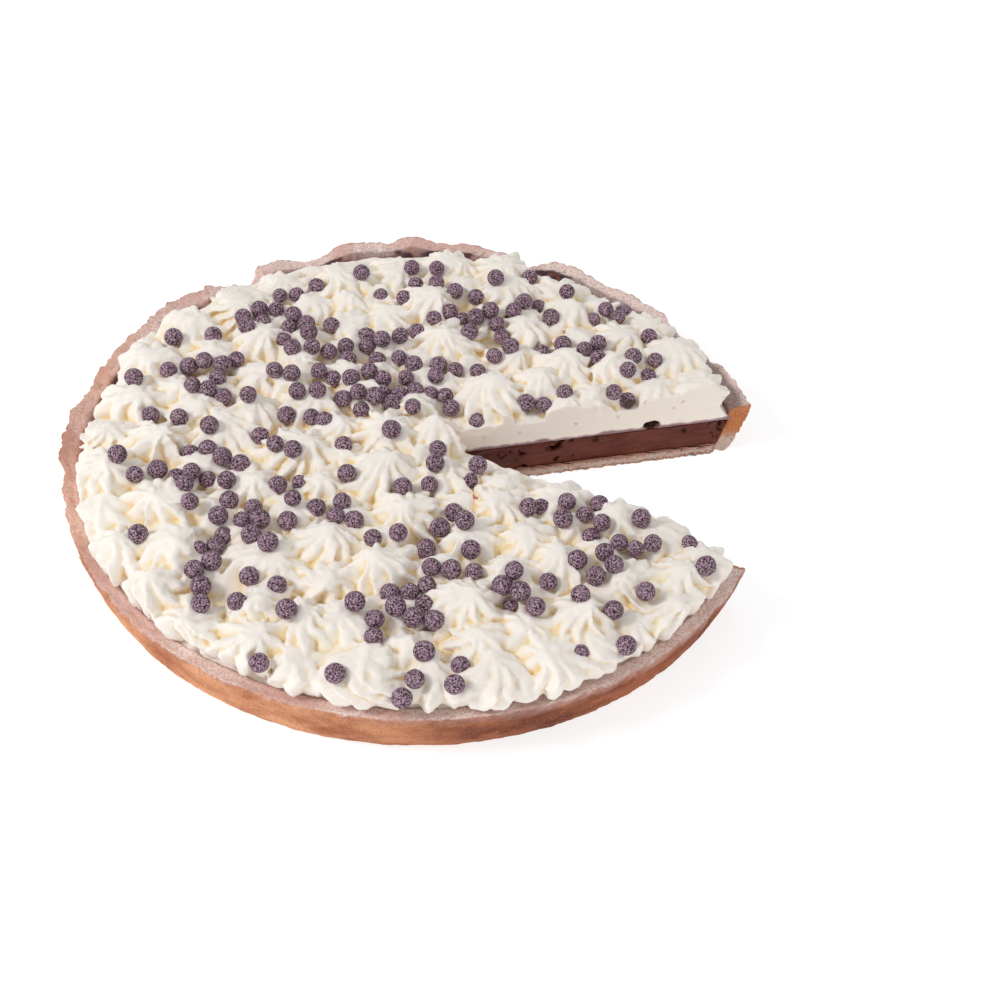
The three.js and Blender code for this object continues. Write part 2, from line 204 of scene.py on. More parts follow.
def rim_swell(angles):
    """How much the rim swells at each angle, eased from each listed swelling to the next."""
    at, swells = np.array(RIM_SWELLS, dtype=float).T
    degrees = (np.degrees(angles) - at[0]) % 360 + at[0]
    following = np.clip(np.searchsorted(at, degrees, side="right"), 1, len(at) - 1)
    share = (degrees - at[following - 1]) / (at[following] - at[following - 1])
    ease = 0.5 - 0.5 * np.cos(math.pi * clamp01(share))
    return swells[following - 1] + (swells[following] - swells[following - 1]) * ease


def bed_height(radius):
    """The height of the cream between the stars, which falls off towards the rim."""
    edge = inner_radius(CREAM_EDGE_TOP)
    fall = clamp01((radius - edge + CREAM_SHOULDER) / CREAM_SHOULDER)
    return CREAM_TOP - (CREAM_TOP - CREAM_EDGE_TOP) * fall * fall


def noise_offset(seed):
    """Where in the endless field of noise a seed looks."""
    return Vector((seed * 17.3, seed * 5.1, seed * 9.7))


def noise_at(points, scale, seed, octaves=3):
    """Smooth noise from about -1 to 1 at each point, with lumps of about that scale."""
    offset = noise_offset(seed)
    values = [
        noise.fractal(Vector(point) / scale + offset, 1.0, 2.0, octaves) for point in points
    ]
    return np.array(values)


def pits_at(points, spacing, size, seed):
    """Round pits, about one to each spacing: 1 in their middles and 0 between them.

    Their size is a share of the spacing.
    """
    offset = noise_offset(seed)
    cells = [noise.voronoi(Vector(point) / spacing + offset)[0][0] for point in points]
    return smooth01((size - np.array(cells)) / PIT_EDGE)


def new_object(name, points, faces):
    """A mesh object in the scene, made from points in millimetres and faces."""
    mesh = bpy.data.meshes.new(name)
    mesh.from_pydata((np.asarray(points) * MM).tolist(), [], faces)
    mesh.validate()
    mesh.update()
    made = bpy.data.objects.new(name, mesh)
    bpy.context.scene.collection.objects.link(made)
    return made


def points_of(mesh):
    """The mesh's points, in millimetres."""
    coordinates = np.empty(len(mesh.vertices) * 3)
    mesh.vertices.foreach_get("co", coordinates)
    return coordinates.reshape(-1, 3) / MM


def normals_of(mesh):
    normals = np.empty(len(mesh.vertices) * 3)
    mesh.vertex_normals.foreach_get("vector", normals)
    return normals.reshape(-1, 3)


def move_points(mesh, points):
    mesh.vertices.foreach_set("co", (points * MM).ravel())
    mesh.update()


def store_mask(mesh, name, values):
    """Keeps a number for each vertex, for the materials to read."""
    attribute = mesh.attributes.new(name, "FLOAT", "POINT")
    attribute.data.foreach_set("value", np.asarray(values, dtype=np.float32))


def apply_modifiers(piece):
    """Replaces the piece's mesh by what its modifiers make of it."""
    graph = bpy.context.evaluated_depsgraph_get()
    mesh = bpy.data.meshes.new_from_object(piece.evaluated_get(graph))
    piece.modifiers.clear()
    old = piece.data
    piece.data = mesh
    mesh.name = piece.name
    bpy.data.meshes.remove(old)


def smooth_shading(mesh, sharp_above=None):
    """Shades the mesh smooth, apart from edges that turn by more than the given angle."""
    mesh.shade_smooth()
    if sharp_above is not None:
        mesh.set_sharp_from_angle(angle=sharp_above)


def smooth_values(mesh, values, rounds):
    """Averages a value with its neighbours' along the mesh's edges, a number of times."""
    edges = np.empty(len(mesh.edges) * 2, dtype=np.int64)
    mesh.edges.foreach_get("vertices", edges)
    first, second = edges[0::2], edges[1::2]
    count = len(mesh.vertices)
    neighbours = np.bincount(first, minlength=count) + np.bincount(second, minlength=count)
    neighbours = np.maximum(neighbours, 1)
    for _ in range(rounds):
        total = np.bincount(first, weights=values[second], minlength=count)
        total += np.bincount(second, weights=values[first], minlength=count)
        values = 0.5 * values + 0.5 * total / neighbours
    return values


def smooth_points(mesh, points, rounds):
    """Moves points towards the middle of their neighbours, a number of times."""
    return np.stack([smooth_values(mesh, points[:, axis], rounds) for axis in range(3)], axis=1)


def hollowness(mesh, rounds):
    """How hollow the surface is at each vertex, in millimetres: below 0 on ridges."""
    points = points_of(mesh)
    smoothed = smooth_points(mesh, points, rounds)
    return np.einsum("ij,ij->i", smoothed - points, normals_of(mesh))


def ring_faces(rings, size):
    """Faces of a closed shape: rings of that many points, then its lowest and highest point."""
    faces = []
    for row in range(rings - 1):
        for k in range(size):
            after = (k + 1) % size
            here, there = row * size, (row + 1) * size
            faces.append((here + k, here + after, there + after, there + k))
    lowest, highest = rings * size, rings * size + 1
    top_ring = (rings - 1) * size
    for k in range(size):
        after = (k + 1) % size
        faces.append((lowest, after, k))
        faces.append((highest, top_ring + k, top_ring + after))
    return faces


def seen_at(x, y, z):
    """The place at height z on the line of sight that meets the sight level at x and y."""
    share = (SIGHT_FROM[2] - z) / (SIGHT_FROM[2] - SIGHT_LEVEL)
    there_x = SIGHT_FROM[0] + (x - SIGHT_FROM[0]) * share
    there_y = SIGHT_FROM[1] + (y - SIGHT_FROM[1]) * share
    return there_x, there_y


def stars_piped():
    """Where each star stands, and how large, tall, twisted and leaning it came out."""
    stream = RandomStream(STAR_SEED)
    stars = []
    for seen_x, seen_y, radius in STARS + SMALL_CURLS:
        x, y = seen_at(seen_x, seen_y, bed_height(math.hypot(seen_x, seen_y)) + STAR_MIDDLE)
        tall = min(STAR_TALLEST, STAR_HEIGHT_SHARE * radius) * stream.between(*STAR_HEIGHTS)
        stars.append({
            "x": x,
            "y": y,
            "radius": radius,
            "height": tall,
            "turn": stream.between(0, 2 * math.pi),
            "twist": stream.between(-STAR_TWIST, STAR_TWIST),
            "lean_angle": stream.between(0, 2 * math.pi),
            "lean": stream.between(*STAR_LEAN_SHARES) * STAR_LEAN,
        })
    return stars


# Cut lines of the missing slice

def flat_direction(angle):
    return np.array((math.cos(angle), math.sin(angle)))


def cut_length(angle, radius):
    """How far a cut line runs from the slice's point to a circle round the axis."""
    along = SLICE_POINT @ flat_direction(angle)
    return -along + np.sqrt(along * along - SLICE_POINT @ SLICE_POINT + np.square(radius))


def cut_angle(angle, radius):
    """The angle, seen from the axis, at which a cut line meets a circle round the axis."""
    length = cut_length(angle, radius)
    x = SLICE_POINT[0] + length * math.cos(angle)
    y = SLICE_POINT[1] + length * math.sin(angle)
    return np.arctan2(y, x)


def past_near_cut(x, y):
    """How far a point lies on the tart's side of the near cut's line."""
    dx, dy = x - SLICE_POINT[0], y - SLICE_POINT[1]
    return math.sin(SLICE_FROM) * dx - math.cos(SLICE_FROM) * dy


def past_far_cut(x, y):
    """How far a point lies on the tart's side of the far cut's line."""
    dx, dy = x - SLICE_POINT[0], y - SLICE_POINT[1]
    return math.cos(SLICE_TO) * dy - math.sin(SLICE_TO) * dx


def outside_slice(x, y):
    """How far a point lies outside the missing slice, below 0 inside it."""
    return np.maximum(past_near_cut(x, y), past_far_cut(x, y))


def at_cut_face(points, within):
    """Which points lie within that distance of a cut face, or in the missing slice."""
    return outside_slice(points[:, 0], points[:, 1]) < within


def into_tart(points):
    """For each point of a cut face, the direction that leads from the face into the tart."""
    far = points[:, 1] > SLICE_MIDDLE_SLOPE * points[:, 0]
    return np.where(far[:, None], INTO_FAR_SIDE, INTO_NEAR_SIDE)


# Crust

WALL_COLUMN_STEP = 0.9
WALL_ROWS = 34
WALL_ACROSS = (0, 0.03, 0.08, 0.15, 0.25, 0.38, 0.5, 0.62, 0.75, 0.85, 0.92, 0.97, 1)
WALL_SHARE_OF_TURN = 0.89
# Below 1, so that the rows lie closer together towards the rim
WALL_ROW_SPACING = 0.9
WALL_BULGE = 0.5
RIM_SLANT = 1.2
RIM_DIP = 0.6
FOOT_ROUNDING = 1.6
BASE_JOINT_RADIUS = 126.3
BASE_STANDS_OUT = 1.1
BASE_STEP = 0.6
BASE_LEVELS = 8
SLAB_ARC_STEPS = 180

# Sizes and depths of what makes the baked wall uneven
CRUMB_SIZE, CRUMB_DEPTH = 1.7, 0.16
LUMP_SIZE, LUMP_DEPTH = 6.0, 0.35
TEAR_SIZE, TEAR_DEPTH, ROUGH_TEAR_DEPTH = 3.2, 0.6, 1.6
RIM_CRUMB_DEPTH, RIM_LUMP_DEPTH = 0.25, 0.6
RIM_CRUMB_RISE, RIM_LUMP_RISE = 0.3, 0.5
# The side of the rim that is torn most
ROUGH_SIDE = math.radians(115)
# Share of the wall's height at which its rim starts
RIM_STARTS = 0.75

# Round pits on the near side of the wall: (degrees, height, radius, depth)
WALL_PITS = (
    (238, 13, 1.3, 1.1), (252, 7, 1.0, 0.8), (226, 9, 0.8, 0.7), (268, 12, 0.7, 0.6),
    (283, 8, 0.9, 0.6), (297, 13, 0.8, 0.6), (311, 6, 1.0, 0.8), (214, 14, 0.7, 0.6),
)
PITS_AT_RADIUS = 135.0

# Crumbs of the crust's cut faces
CUT_CRUMB_SIZE, CUT_CRUMB_DEPTH = 1.9, 0.8
CUT_LUMP_SIZE, CUT_LUMP_DEPTH = 4.5, 0.5
CUT_SETS_BACK = 0.1

# How far the dark coat of the inner wall reaches on to the rim, and how much further it does
# by the far rim and, as degrees and millimetres, beside the far cut
COAT_REACH = 1.2
COAT_FURTHER_FAR_RIM = 2.4
COAT_FURTHER_BY_CUT = ((8, 14, 30, 42), (0, 2.6, 2.6, 0))
COAT_EASE = 1.6
COAT_ABOVE = 8.0
RIM_TOP_ABOVE = 12.0
FAR_RIM_MIDDLE = math.radians(55)


def crest(across):
    """How far the rim's top lies below its highest line, across the wall from outside to inside."""
    edge = EDGE_ROUNDING / RIM_WIDTH
    outer = np.sqrt(1 - np.square(clamp01(1 - across / (0.6 * edge))))
    inner = np.sqrt(1 - np.square(clamp01(1 - (1 - across) / edge)))
    dip = RIM_DIP * np.square(np.sin(math.pi * clamp01(across)))
    return EDGE_ROUNDING * (2 - outer - inner) + RIM_SLANT * across + dip


def wall_points(across, up, angles):
    """Points of the shell's wall, for shares across and up the wall and angles round it."""
    swell = rim_swell(angles)
    height = up * (RIM_HEIGHT - crest(across))
    lift = swell * SWELL_UPWARDS * clamp01((height - LIFT_STARTS) / (RIM_HEIGHT - LIFT_STARTS))
    z = height + lift
    bulge = WALL_BULGE * np.sin(math.pi * clamp01(up))
    foot = FOOT_ROUNDING * (1 - np.sqrt(1 - np.square(clamp01(1 - height / FOOT_ROUNDING))))
    outer = FOOT_RADIUS + WALL_SLOPE * height + bulge - foot
    outer = outer + swell * SWELL_OUTWARDS * height / RIM_HEIGHT
    radius = outer + (inner_radius(z) - outer) * across
    return np.stack((radius * np.cos(angles), radius * np.sin(angles), z), axis=-1)


def wall_relief(points, across, up, angles):
    """Crumbs, tears and pits of the baked wall: moves its points in and out."""
    rough_side = smooth01(0.9 + 1.3 * np.cos(angles - ROUGH_SIDE))
    at_rim = smooth01((up - RIM_STARTS) / (1 - RIM_STARTS))
    crumbs = noise_at(points, CRUMB_SIZE, seed=1, octaves=2)
    lumps = noise_at(points, LUMP_SIZE, seed=2, octaves=3)
    tears = np.minimum(noise_at(points * (1, 1, 0.6), TEAR_SIZE, seed=3, octaves=2), 0)
    outwards = CRUMB_DEPTH * crumbs + LUMP_DEPTH * lumps
    outwards = outwards + at_rim * (RIM_CRUMB_DEPTH * crumbs + RIM_LUMP_DEPTH * lumps)
    outwards = outwards + at_rim * (TEAR_DEPTH + ROUGH_TEAR_DEPTH * rough_side) * tears
    for degrees, height, size, depth in WALL_PITS:
        centre = (*(PITS_AT_RADIUS * flat_direction(math.radians(degrees))), height)
        away = np.linalg.norm(points - centre, axis=1)
        outwards = outwards - depth * (across < 0.1) * np.exp(-np.power(away / size, 4) * 0.5)
    side = np.where(across < 0.5, 1.0, -0.6) * np.abs(1 - 2 * across)
    flat = np.stack((np.cos(angles), np.sin(angles), np.zeros_like(angles)), axis=1)
    moved = points + flat * (outwards * side)[:, None]
    upwards = RIM_CRUMB_RISE * crumbs + RIM_LUMP_RISE * lumps + RIM_LUMP_RISE * rough_side * lumps
    moved[:, 2] += at_rim * upwards * np.sin(math.pi * np.clip(across, 0.12, 0.88)) ** 0.5
    moved[:, 2] = np.maximum(moved[:, 2], 0.0)
    return moved


def wall_mesh():
    """The wall: a section swept round the axis from one cut to the other, with filled ends."""
    coarse = 1
    rows = round(WALL_ROWS / coarse)
    swept = 2 * math.pi * RIM_RADIUS * WALL_SHARE_OF_TURN
    columns = round(swept / (WALL_COLUMN_STEP * coarse))
    last = len(WALL_ACROSS) - 1
    border = [(0, j) for j in range(rows)] + [(i, rows) for i in range(last)]
    border += [(last, rows - j) for j in range(rows)] + [(last - i, 0) for i in range(last)]
    inside = [(i, j) for i in range(1, last) for j in range(1, rows)]
    section = border + inside
    across = np.array([WALL_ACROSS[i] for i, _ in section])
    up = np.array([j / rows for _, j in section]) ** WALL_ROW_SPACING
    nominal = wall_points(across, up, np.full(len(section), math.pi))
    radius = np.hypot(nominal[:, 0], nominal[:, 1])
    first = cut_angle(SLICE_TO, radius)
    final = cut_angle(SLICE_FROM, radius) + 2 * math.pi
    points, shares = [], []
    for column in range(columns + 1):
        share = column / columns
        used = len(section) if column in (0, columns) else len(border)
        angles = first[:used] + (final[:used] - first[:used]) * share
        points.append(wall_points(across[:used], up[:used], angles))
        shares.append(np.stack((across[:used], up[:used], angles), axis=1))
    sizes = [len(ring) for ring in points]
    starts = np.concatenate(([0], np.cumsum(sizes)[:-1]))
    points, shares = np.concatenate(points), np.concatenate(shares)
    points = wall_relief(points, shares[:, 0], shares[:, 1], shares[:, 2])
    points = roughen_ends(points)
    ring = len(border)
    faces = []
    for column in range(columns):
        here, there = int(starts[column]), int(starts[column + 1])
        for k in range(ring):
            after = (k + 1) % ring
            faces.append((here + k, there + k, there + after, here + after))
    index = {place: k for k, place in enumerate(section)}
    for start, flip in ((int(starts[0]), False), (int(starts[-1]), True)):
        for i in range(last):
            for j in range(rows):
                corners = [index[i, j], index[i + 1, j], index[i + 1, j + 1], index[i, j + 1]]
                corners = [start + corner for corner in corners]
                faces.append(tuple(reversed(corners)) if flip else tuple(corners))
    return points, faces


def roughen_ends(points, stands_out=0.0):
    """The knife left the cut faces of the crust crumbly: their points move in and out."""
    moves = at_cut_face(points, within=0.6)
    chosen = points[moves]
    crumbs = CUT_CRUMB_DEPTH * noise_at(chosen, CUT_CRUMB_SIZE, seed=5, octaves=3)
    crumbs = crumbs + CUT_LUMP_DEPTH * noise_at(chosen, CUT_LUMP_SIZE, seed=6)
    moved = points.copy()
    moved[moves, :2] += into_tart(chosen) * (crumbs + CUT_SETS_BACK - stands_out)[:, None]
    return moved


def cut_line(angle, radius, shares):
    """Points along a cut line, at shares of its length from the slice's point to the radius."""
    return SLICE_POINT + np.outer(shares * cut_length(angle, radius), flat_direction(angle))


def slab_mesh(low, high, radius_at, step, levels, relief):
    """A layer with the slice missing: fine cut faces, a round side, and flat top and bottom."""
    cut_steps = round(radius_at(high) / step)
    shares = np.linspace(0, 1, cut_steps + 1)
    rings = []
    for z in np.linspace(low, high, levels + 1):
        radius = radius_at(z)
        start, end = cut_angle(SLICE_TO, radius), cut_angle(SLICE_FROM, radius) + 2 * math.pi
        turn = np.linspace(start, end, SLAB_ARC_STEPS + 1)[1:-1]
        arc = radius * np.stack((np.cos(turn), np.sin(turn)), axis=1)
        far = cut_line(SLICE_TO, radius, shares)
        near = cut_line(SLICE_FROM, radius, shares)
        plan = np.concatenate((far, arc, near[:0:-1]))
        rings.append(np.column_stack((plan, np.full(len(plan), z))))
    points = relief(np.concatenate(rings))
    # The middle of the top and of the bottom lies opposite the slice, in sight of the whole edge.
    middle = -SLICE_POINT * 8
    points = np.concatenate((points, [(*middle, low), (*middle, high)]))
    return points, ring_faces(len(rings), len(rings[0]))


def base_mesh():
    coarse = 1
    step = BASE_STEP * coarse
    return slab_mesh(0, BASE_THICKNESS, lambda z: BASE_JOINT_RADIUS, step, BASE_LEVELS, roughen_base)


def roughen_base(points):
    """The base's cut faces are crumbly too, and stand a little out of the cut."""
    moved = roughen_ends(points, BASE_STANDS_OUT)
    moved[:, 2] = np.clip(moved[:, 2], 0.0, BASE_THICKNESS)
    return moved


def make_crust():
    crust = new_object("shortcrust_shell", *joined_mesh([wall_mesh(), base_mesh()]))
    smooth_shading(crust.data, math.radians(60))
    points = points_of(crust.data)
    radius = np.hypot(points[:, 0], points[:, 1])
    angles = np.arctan2(points[:, 1], points[:, 0])
    far_rim = smooth01(1.7 * np.cos(angles - FAR_RIM_MIDDLE) - 0.3)
    reach = COAT_REACH + COAT_FURTHER_FAR_RIM * far_rim
    reach = reach + np.interp(np.degrees(angles), *COAT_FURTHER_BY_CUT)
    inside = smooth01((inner_radius(points[:, 2]) + reach - radius) / COAT_EASE)
    rim = smooth01((normals_of(crust.data)[:, 2] - 0.25) / 0.4)
    store_mask(crust.data, "cut_face", at_cut_face(points, within=1.1))
    store_mask(crust.data, "rim_top", rim * (points[:, 2] > RIM_TOP_ABOVE))
    store_mask(crust.data, "inner_wall", inside * (points[:, 2] > COAT_ABOVE))
    store_mask(crust.data, "hollow", hollowness(crust.data, 6))
    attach(crust, "root")
    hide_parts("crust")
    return crust


# Chocolate

CHOCOLATE_STEP = 0.5
CHOCOLATE_LEVELS = 26
# The layer reaches this far into the crust and the cream, so that no gap shows.
CHOCOLATE_OVERLAP = 0.2
CHOCOLATE_STANDS_OUT = 0.05

# The marks of its cut faces, with sizes and depths
WAVE_SIZE, WAVE_DEPTH = 2.6, 0.28
CRACK_SIZE, CRACK_WIDTH, CRACK_DEPTH = 3.6, 0.07, 1.5
CRACKED_PATCH_SIZE = 13.0
PIT_SPACING, PIT_SIZE, PIT_DEPTH = 9.0, 0.2, 0.9
# How soon a pit's side falls off, as a share of the spacing
PIT_EDGE = 0.08
TORN_SIZE, TORN_DEPTH = 4.6, 2.0
# The torn stretch, as distances along the cut from the slice's point
TORN_MIDDLE, TORN_HALF_LENGTH = 44.0, 13.0


def chocolate_relief(points):
    """Cracks, pits and knife marks in the cut faces of the set chocolate."""
    moves = at_cut_face(points, within=0.2)
    chosen = points[moves]
    waves = WAVE_DEPTH * noise_at(chosen * (0.35, 0.35, 1.0), WAVE_SIZE, seed=11, octaves=3)
    cracks = np.abs(noise_at(chosen * (1, 1, 0.7), CRACK_SIZE, seed=12, octaves=3))
    cracks = -CRACK_DEPTH * np.exp(-np.square(cracks / CRACK_WIDTH))
    cracked_patches = noise_at(chosen, CRACKED_PATCH_SIZE, seed=13, octaves=1)
    cracks = cracks * smooth01(4.0 * cracked_patches - 1.0)
    pits = -PIT_DEPTH * pits_at(chosen, PIT_SPACING, PIT_SIZE, seed=14)
    along = np.hypot(chosen[:, 0] - SLICE_POINT[0], chosen[:, 1] - SLICE_POINT[1])
    torn = noise_at(chosen * (0.8, 0.8, 1), TORN_SIZE, seed=15, octaves=3)
    torn = -TORN_DEPTH * smooth01((torn - 0.24) / 0.12)
    torn = torn * np.exp(-np.power((along - TORN_MIDDLE) / TORN_HALF_LENGTH, 4))
    depth = waves + cracks + pits + torn
    moved = points.copy()
    moved[moves, :2] -= into_tart(chosen) * (depth + CHOCOLATE_STANDS_OUT)[:, None]
    return moved


def make_chocolate():
    coarse = 1
    layer = new_object("set_chocolate", *slab_mesh(
        BASE_THICKNESS + 0.1,
        CHOCOLATE_TOP + CHOCOLATE_OVERLAP,
        lambda z: inner_radius(z) + CHOCOLATE_OVERLAP,
        CHOCOLATE_STEP * coarse,
        round(CHOCOLATE_LEVELS / coarse),
        chocolate_relief,
    ))
    smooth_shading(layer.data, math.radians(50))
    store_mask(layer.data, "hollow", hollowness(layer.data, 4))
    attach(layer, "root")
    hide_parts("chocolate_layer")
    return layer


# Cream

VOXEL = 0.55
CREAM_SECTORS = 3
MOST_CREAM_TRIANGLES = 192000 * CREAM_SECTORS
CREAM_BOTTOM = CHOCOLATE_TOP + 0.1

# Stars: heights and radii of their profile are shares of the star's own
STAR_ROWS = 36
STAR_ROW_SPACING = 0.9
STAR_PROFILE_HEIGHTS = (-0.3, 0.0, 0.14, 0.32, 0.5, 0.66, 0.8, 0.9, 0.96, 1.0)
STAR_PROFILE_RADII = (0.94, 1.0, 1.01, 0.96, 0.86, 0.71, 0.52, 0.35, 0.22, 0.06)
STAR_WIDENING = (1.03, 1.14)
STAR_OVALNESS = (0.0, 0.12)
RIDGE_PITCH = 10.2
RIDGE_PITCH_SHARES = (0.85, 1.1)
FEWEST_RIDGES = 6
COLUMNS_PER_RIDGE = 16
GROOVE_DEPTHS = (0.28, 0.42)
GROOVE_CRISPNESS = (0.85, 1.6)
RIDGE_SIZES = (0.9, 1.1)
RIDGE_SHIFTS = (-0.13, 0.13)
MILD_SWIRL, STRONG_SWIRL = 1.6, 4.0
MILD_SWIRL_SHARE = 0.7
TIP_CURLS = (0.6, 3.0)
TIP_CURL_STARTS, TIP_CURL_EASE = 0.7, 0.3
TIP_CURL_TURN = 0.9
TIPS_WORN = 0.92
LOWER_BY_FAR_RIM = 0.24
FAR_RIM_STARTS, FAR_RIM_EASE = 96.0, 14.0
WOBBLE_SIZE, WOBBLE = 9.0, (1.8, 1.8, 1.1)
RAGGED_SIZE, RAGGED = 3.6, (0.4, 0.4, 0.5)
# A star is cut where its middle lies nearer to the slice than this many of its radii
CUT_WITHIN = 1.6

# How far the cream reaches over the rim, as (degrees, mm); below 0 it stays within the rim
OVERHANGS = (
    (-180, -4.8), (-165, -3.2), (-150, 1.0), (-115, 1.6), (-98, 4.4), (-70, 4.9), (-50, 1.8),
    (-28, 0.8), (0, -1.0), (12, -3.0), (60, -4.2), (150, -4.2), (180, -4.8),
)
OVERHANG_WAVE, OVERHANG_WANDER = 7.0, 2.4
# It starts this far below the rim's top, but a long one starts above it
OVERHANG_STARTS_BELOW, OVERHANG_EASE = 3, 2.5
LONG_OVERHANG, LONG_OVERHANG_LIFT = 4, 2.6
# How far the cream at the wall reaches into it
INTO_WALL = 0.5
SQUEEZE = 2.5
VALLEY_PRESSED = 2.4
# Two lobes that reach further over the far rim, from this height up
LOBES_OVER_RIM = (math.radians(28), math.radians(71))
LOBE_REACH, LOBE_WIDTH, LOBE_ABOVE = 7.0, 0.07, 23.0

# Bed under the stars, and how far it dips along the rim and beside the near cut
BED_RINGS = 64
BED_STEPS = 360
BED_INNERMOST = 3.0
BED_OVERLAP = 0.3
BED_LUMP_SIZE, BED_LUMPS = 6.5, 1.5
BED_EDGE_WIDTH, BED_EDGE_EASE = 9, 8
FAR_SIDE_DIP = 4.2
NEAR_SIDE_DIP = 2.4
RIM_DIP_WANDER = 1.2
NEAR_CUT_DIP, NEAR_CUT_DIP_WIDTH = 3.0, 9.0

# The wedge that cuts the slice out of the cream
WEDGE_LENGTH = 220.0
WEDGE_HEIGHTS = (-20.0, 80.0)

# Surface of the cream, with sizes and depths; the size of nicks is a share of their spacing
CURD_SIZE, CURD_DEPTH = 2.4, 0.17
TORN_RIDGE_SIZE, TORN_RIDGE_DEPTH = 1.7, 1.2
DRAG_SIZE, DRAG_DEPTH = 2.4, 0.3
NICK_SPACING, NICK_SIZE, NICK_DEPTH, NICKS_ABOVE = 5.0, 0.17, 1.0, 21.5

# The hole between cream and chocolate in the far cut face
HOLE_ALONG, HOLE_HEIGHT = 91.0, 18.7
HOLE_HALF_LENGTH, HOLE_HALF_RISE = 3.2, 1.8
HOLE_DEPTH = 3.0


def squeezed(points, valleys=0.0):
    """Presses cream softly against its limit at the rim, in the valleys between ridges furthest."""
    radius = np.hypot(points[:, 0], points[:, 1])
    angle = np.arctan2(points[:, 1], points[:, 0])
    rim_line = RIM_RADIUS * np.stack((np.cos(angle), np.sin(angle), np.zeros_like(angle)), axis=1)
    overhang = np.interp(np.degrees(angle), *zip(*OVERHANGS))
    lift = LONG_OVERHANG_LIFT * clamp01(overhang / LONG_OVERHANG)
    overhang = overhang + OVERHANG_WANDER * noise_at(rim_line, OVERHANG_WAVE, seed=36, octaves=2)
    above_start = points[:, 2] - RIM_HEIGHT + OVERHANG_STARTS_BELOW - lift
    limit = inner_radius(points[:, 2]) + INTO_WALL
    limit = limit + overhang * smooth01(above_start / OVERHANG_EASE)
    for lobe in LOBES_OVER_RIM:
        beside = np.exp(-np.square((angle - lobe) / LOBE_WIDTH))
        limit = limit + LOBE_REACH * beside * smooth01((points[:, 2] - LOBE_ABOVE) / 3)
    limit = limit - VALLEY_PRESSED * valleys
    start = limit - SQUEEZE
    pressed = limit - SQUEEZE * np.exp(-np.maximum(radius - start, 0) / SQUEEZE)
    share = np.where(radius > start, pressed / np.maximum(radius, 1), 1.0)
    moved = points.copy()
    moved[:, :2] *= share[:, None]
    return moved


def star_mesh(star, number):
    """A star of cream: sharp ridges and grooves, twisted a little, its tip leaning and curled."""
    stream = RandomStream(STAR_SEED + 37 * number + 1)
    # The first numbers of streams with near seeds are much alike, so they aren't used.
    for _ in range(3):
        stream.next()
    wide = star["radius"] * stream.between(*STAR_WIDENING)
    wished_ridges = 2 * math.pi * wide / RIDGE_PITCH * stream.between(*RIDGE_PITCH_SHARES)
    ridges = max(FEWEST_RIDGES, round(wished_ridges))
    depth = stream.between(*GROOVE_DEPTHS)
    crispness = stream.between(*GROOVE_CRISPNESS)
    oval = stream.between(*STAR_OVALNESS)
    oval_angle = stream.between(0, math.pi)
    curl = stream.between(*TIP_CURLS)
    curl_angle = star["lean_angle"] + stream.between(-TIP_CURL_TURN, TIP_CURL_TURN)
    swirl = star["twist"] * (MILD_SWIRL if stream.next() < MILD_SWIRL_SHARE else STRONG_SWIRL)
    ridge_sizes = np.array([stream.between(*RIDGE_SIZES) for _ in range(ridges)])
    ridge_shifts = np.array([stream.between(*RIDGE_SHIFTS) for _ in range(ridges)])
    columns = ridges * COLUMNS_PER_RIDGE
    lowest = STAR_PROFILE_HEIGHTS[0]
    ups = np.linspace(0, 1, STAR_ROWS) ** STAR_ROW_SPACING * (1 - lowest) + lowest
    radii = np.interp(ups, STAR_PROFILE_HEIGHTS, STAR_PROFILE_RADII) * wide
    turn = np.linspace(0, 2 * math.pi, columns, endpoint=False)
    up, angle = np.meshgrid(ups, turn, indexing="ij")
    raised = clamp01(up)
    place = angle * ridges / (2 * math.pi)
    ridge_number = np.round(place).astype(int) % ridges
    aside = 2 * np.abs(place - np.round(place))
    radius = radii[:, None] * ridge_sizes[ridge_number] * (1 - depth * aside ** crispness)
    turned = angle + ridge_shifts[ridge_number] * (1 - aside) + star["turn"]
    turned = turned + swirl * raised ** 1.4
    radius = radius * (1 + oval * np.cos(2 * (turned - oval_angle)))
    lean = star["lean"] * raised ** 2
    bend = curl * smooth01((raised - TIP_CURL_STARTS) / TIP_CURL_EASE)
    x = radius * np.cos(turned) + lean * math.cos(star["lean_angle"]) + bend * math.cos(curl_angle)
    y = radius * np.sin(turned) + lean * math.sin(star["lean_angle"]) + bend * math.sin(curl_angle)
    from_axis = math.hypot(star["x"], star["y"])
    by_far_rim = smooth01((from_axis - FAR_RIM_STARTS) / FAR_RIM_EASE)
    by_far_rim = by_far_rim * smooth01(1.6 * star["y"] / from_axis)
    height = star["height"] * (TIPS_WORN - LOWER_BY_FAR_RIM * by_far_rim)
    points = np.stack((x, y, up * height), axis=-1).reshape(-1, 3)
    points += (star["x"], star["y"], bed_height(from_axis))
    wobble = [noise_at(points, WOBBLE_SIZE, seed=20 + axis, octaves=3) for axis in range(3)]
    ragged = noise_at(points, RAGGED_SIZE, seed=24, octaves=2)
    points = points + np.stack(wobble, axis=1) * WOBBLE + ragged[:, None] * RAGGED
    points = squeezed(points, aside.ravel() ** 1.5)
    bottom, tip = points[:columns].mean(axis=0), points[-columns:].mean(axis=0)
    return np.concatenate((points, [bottom, tip])), ring_faces(STAR_ROWS, columns)


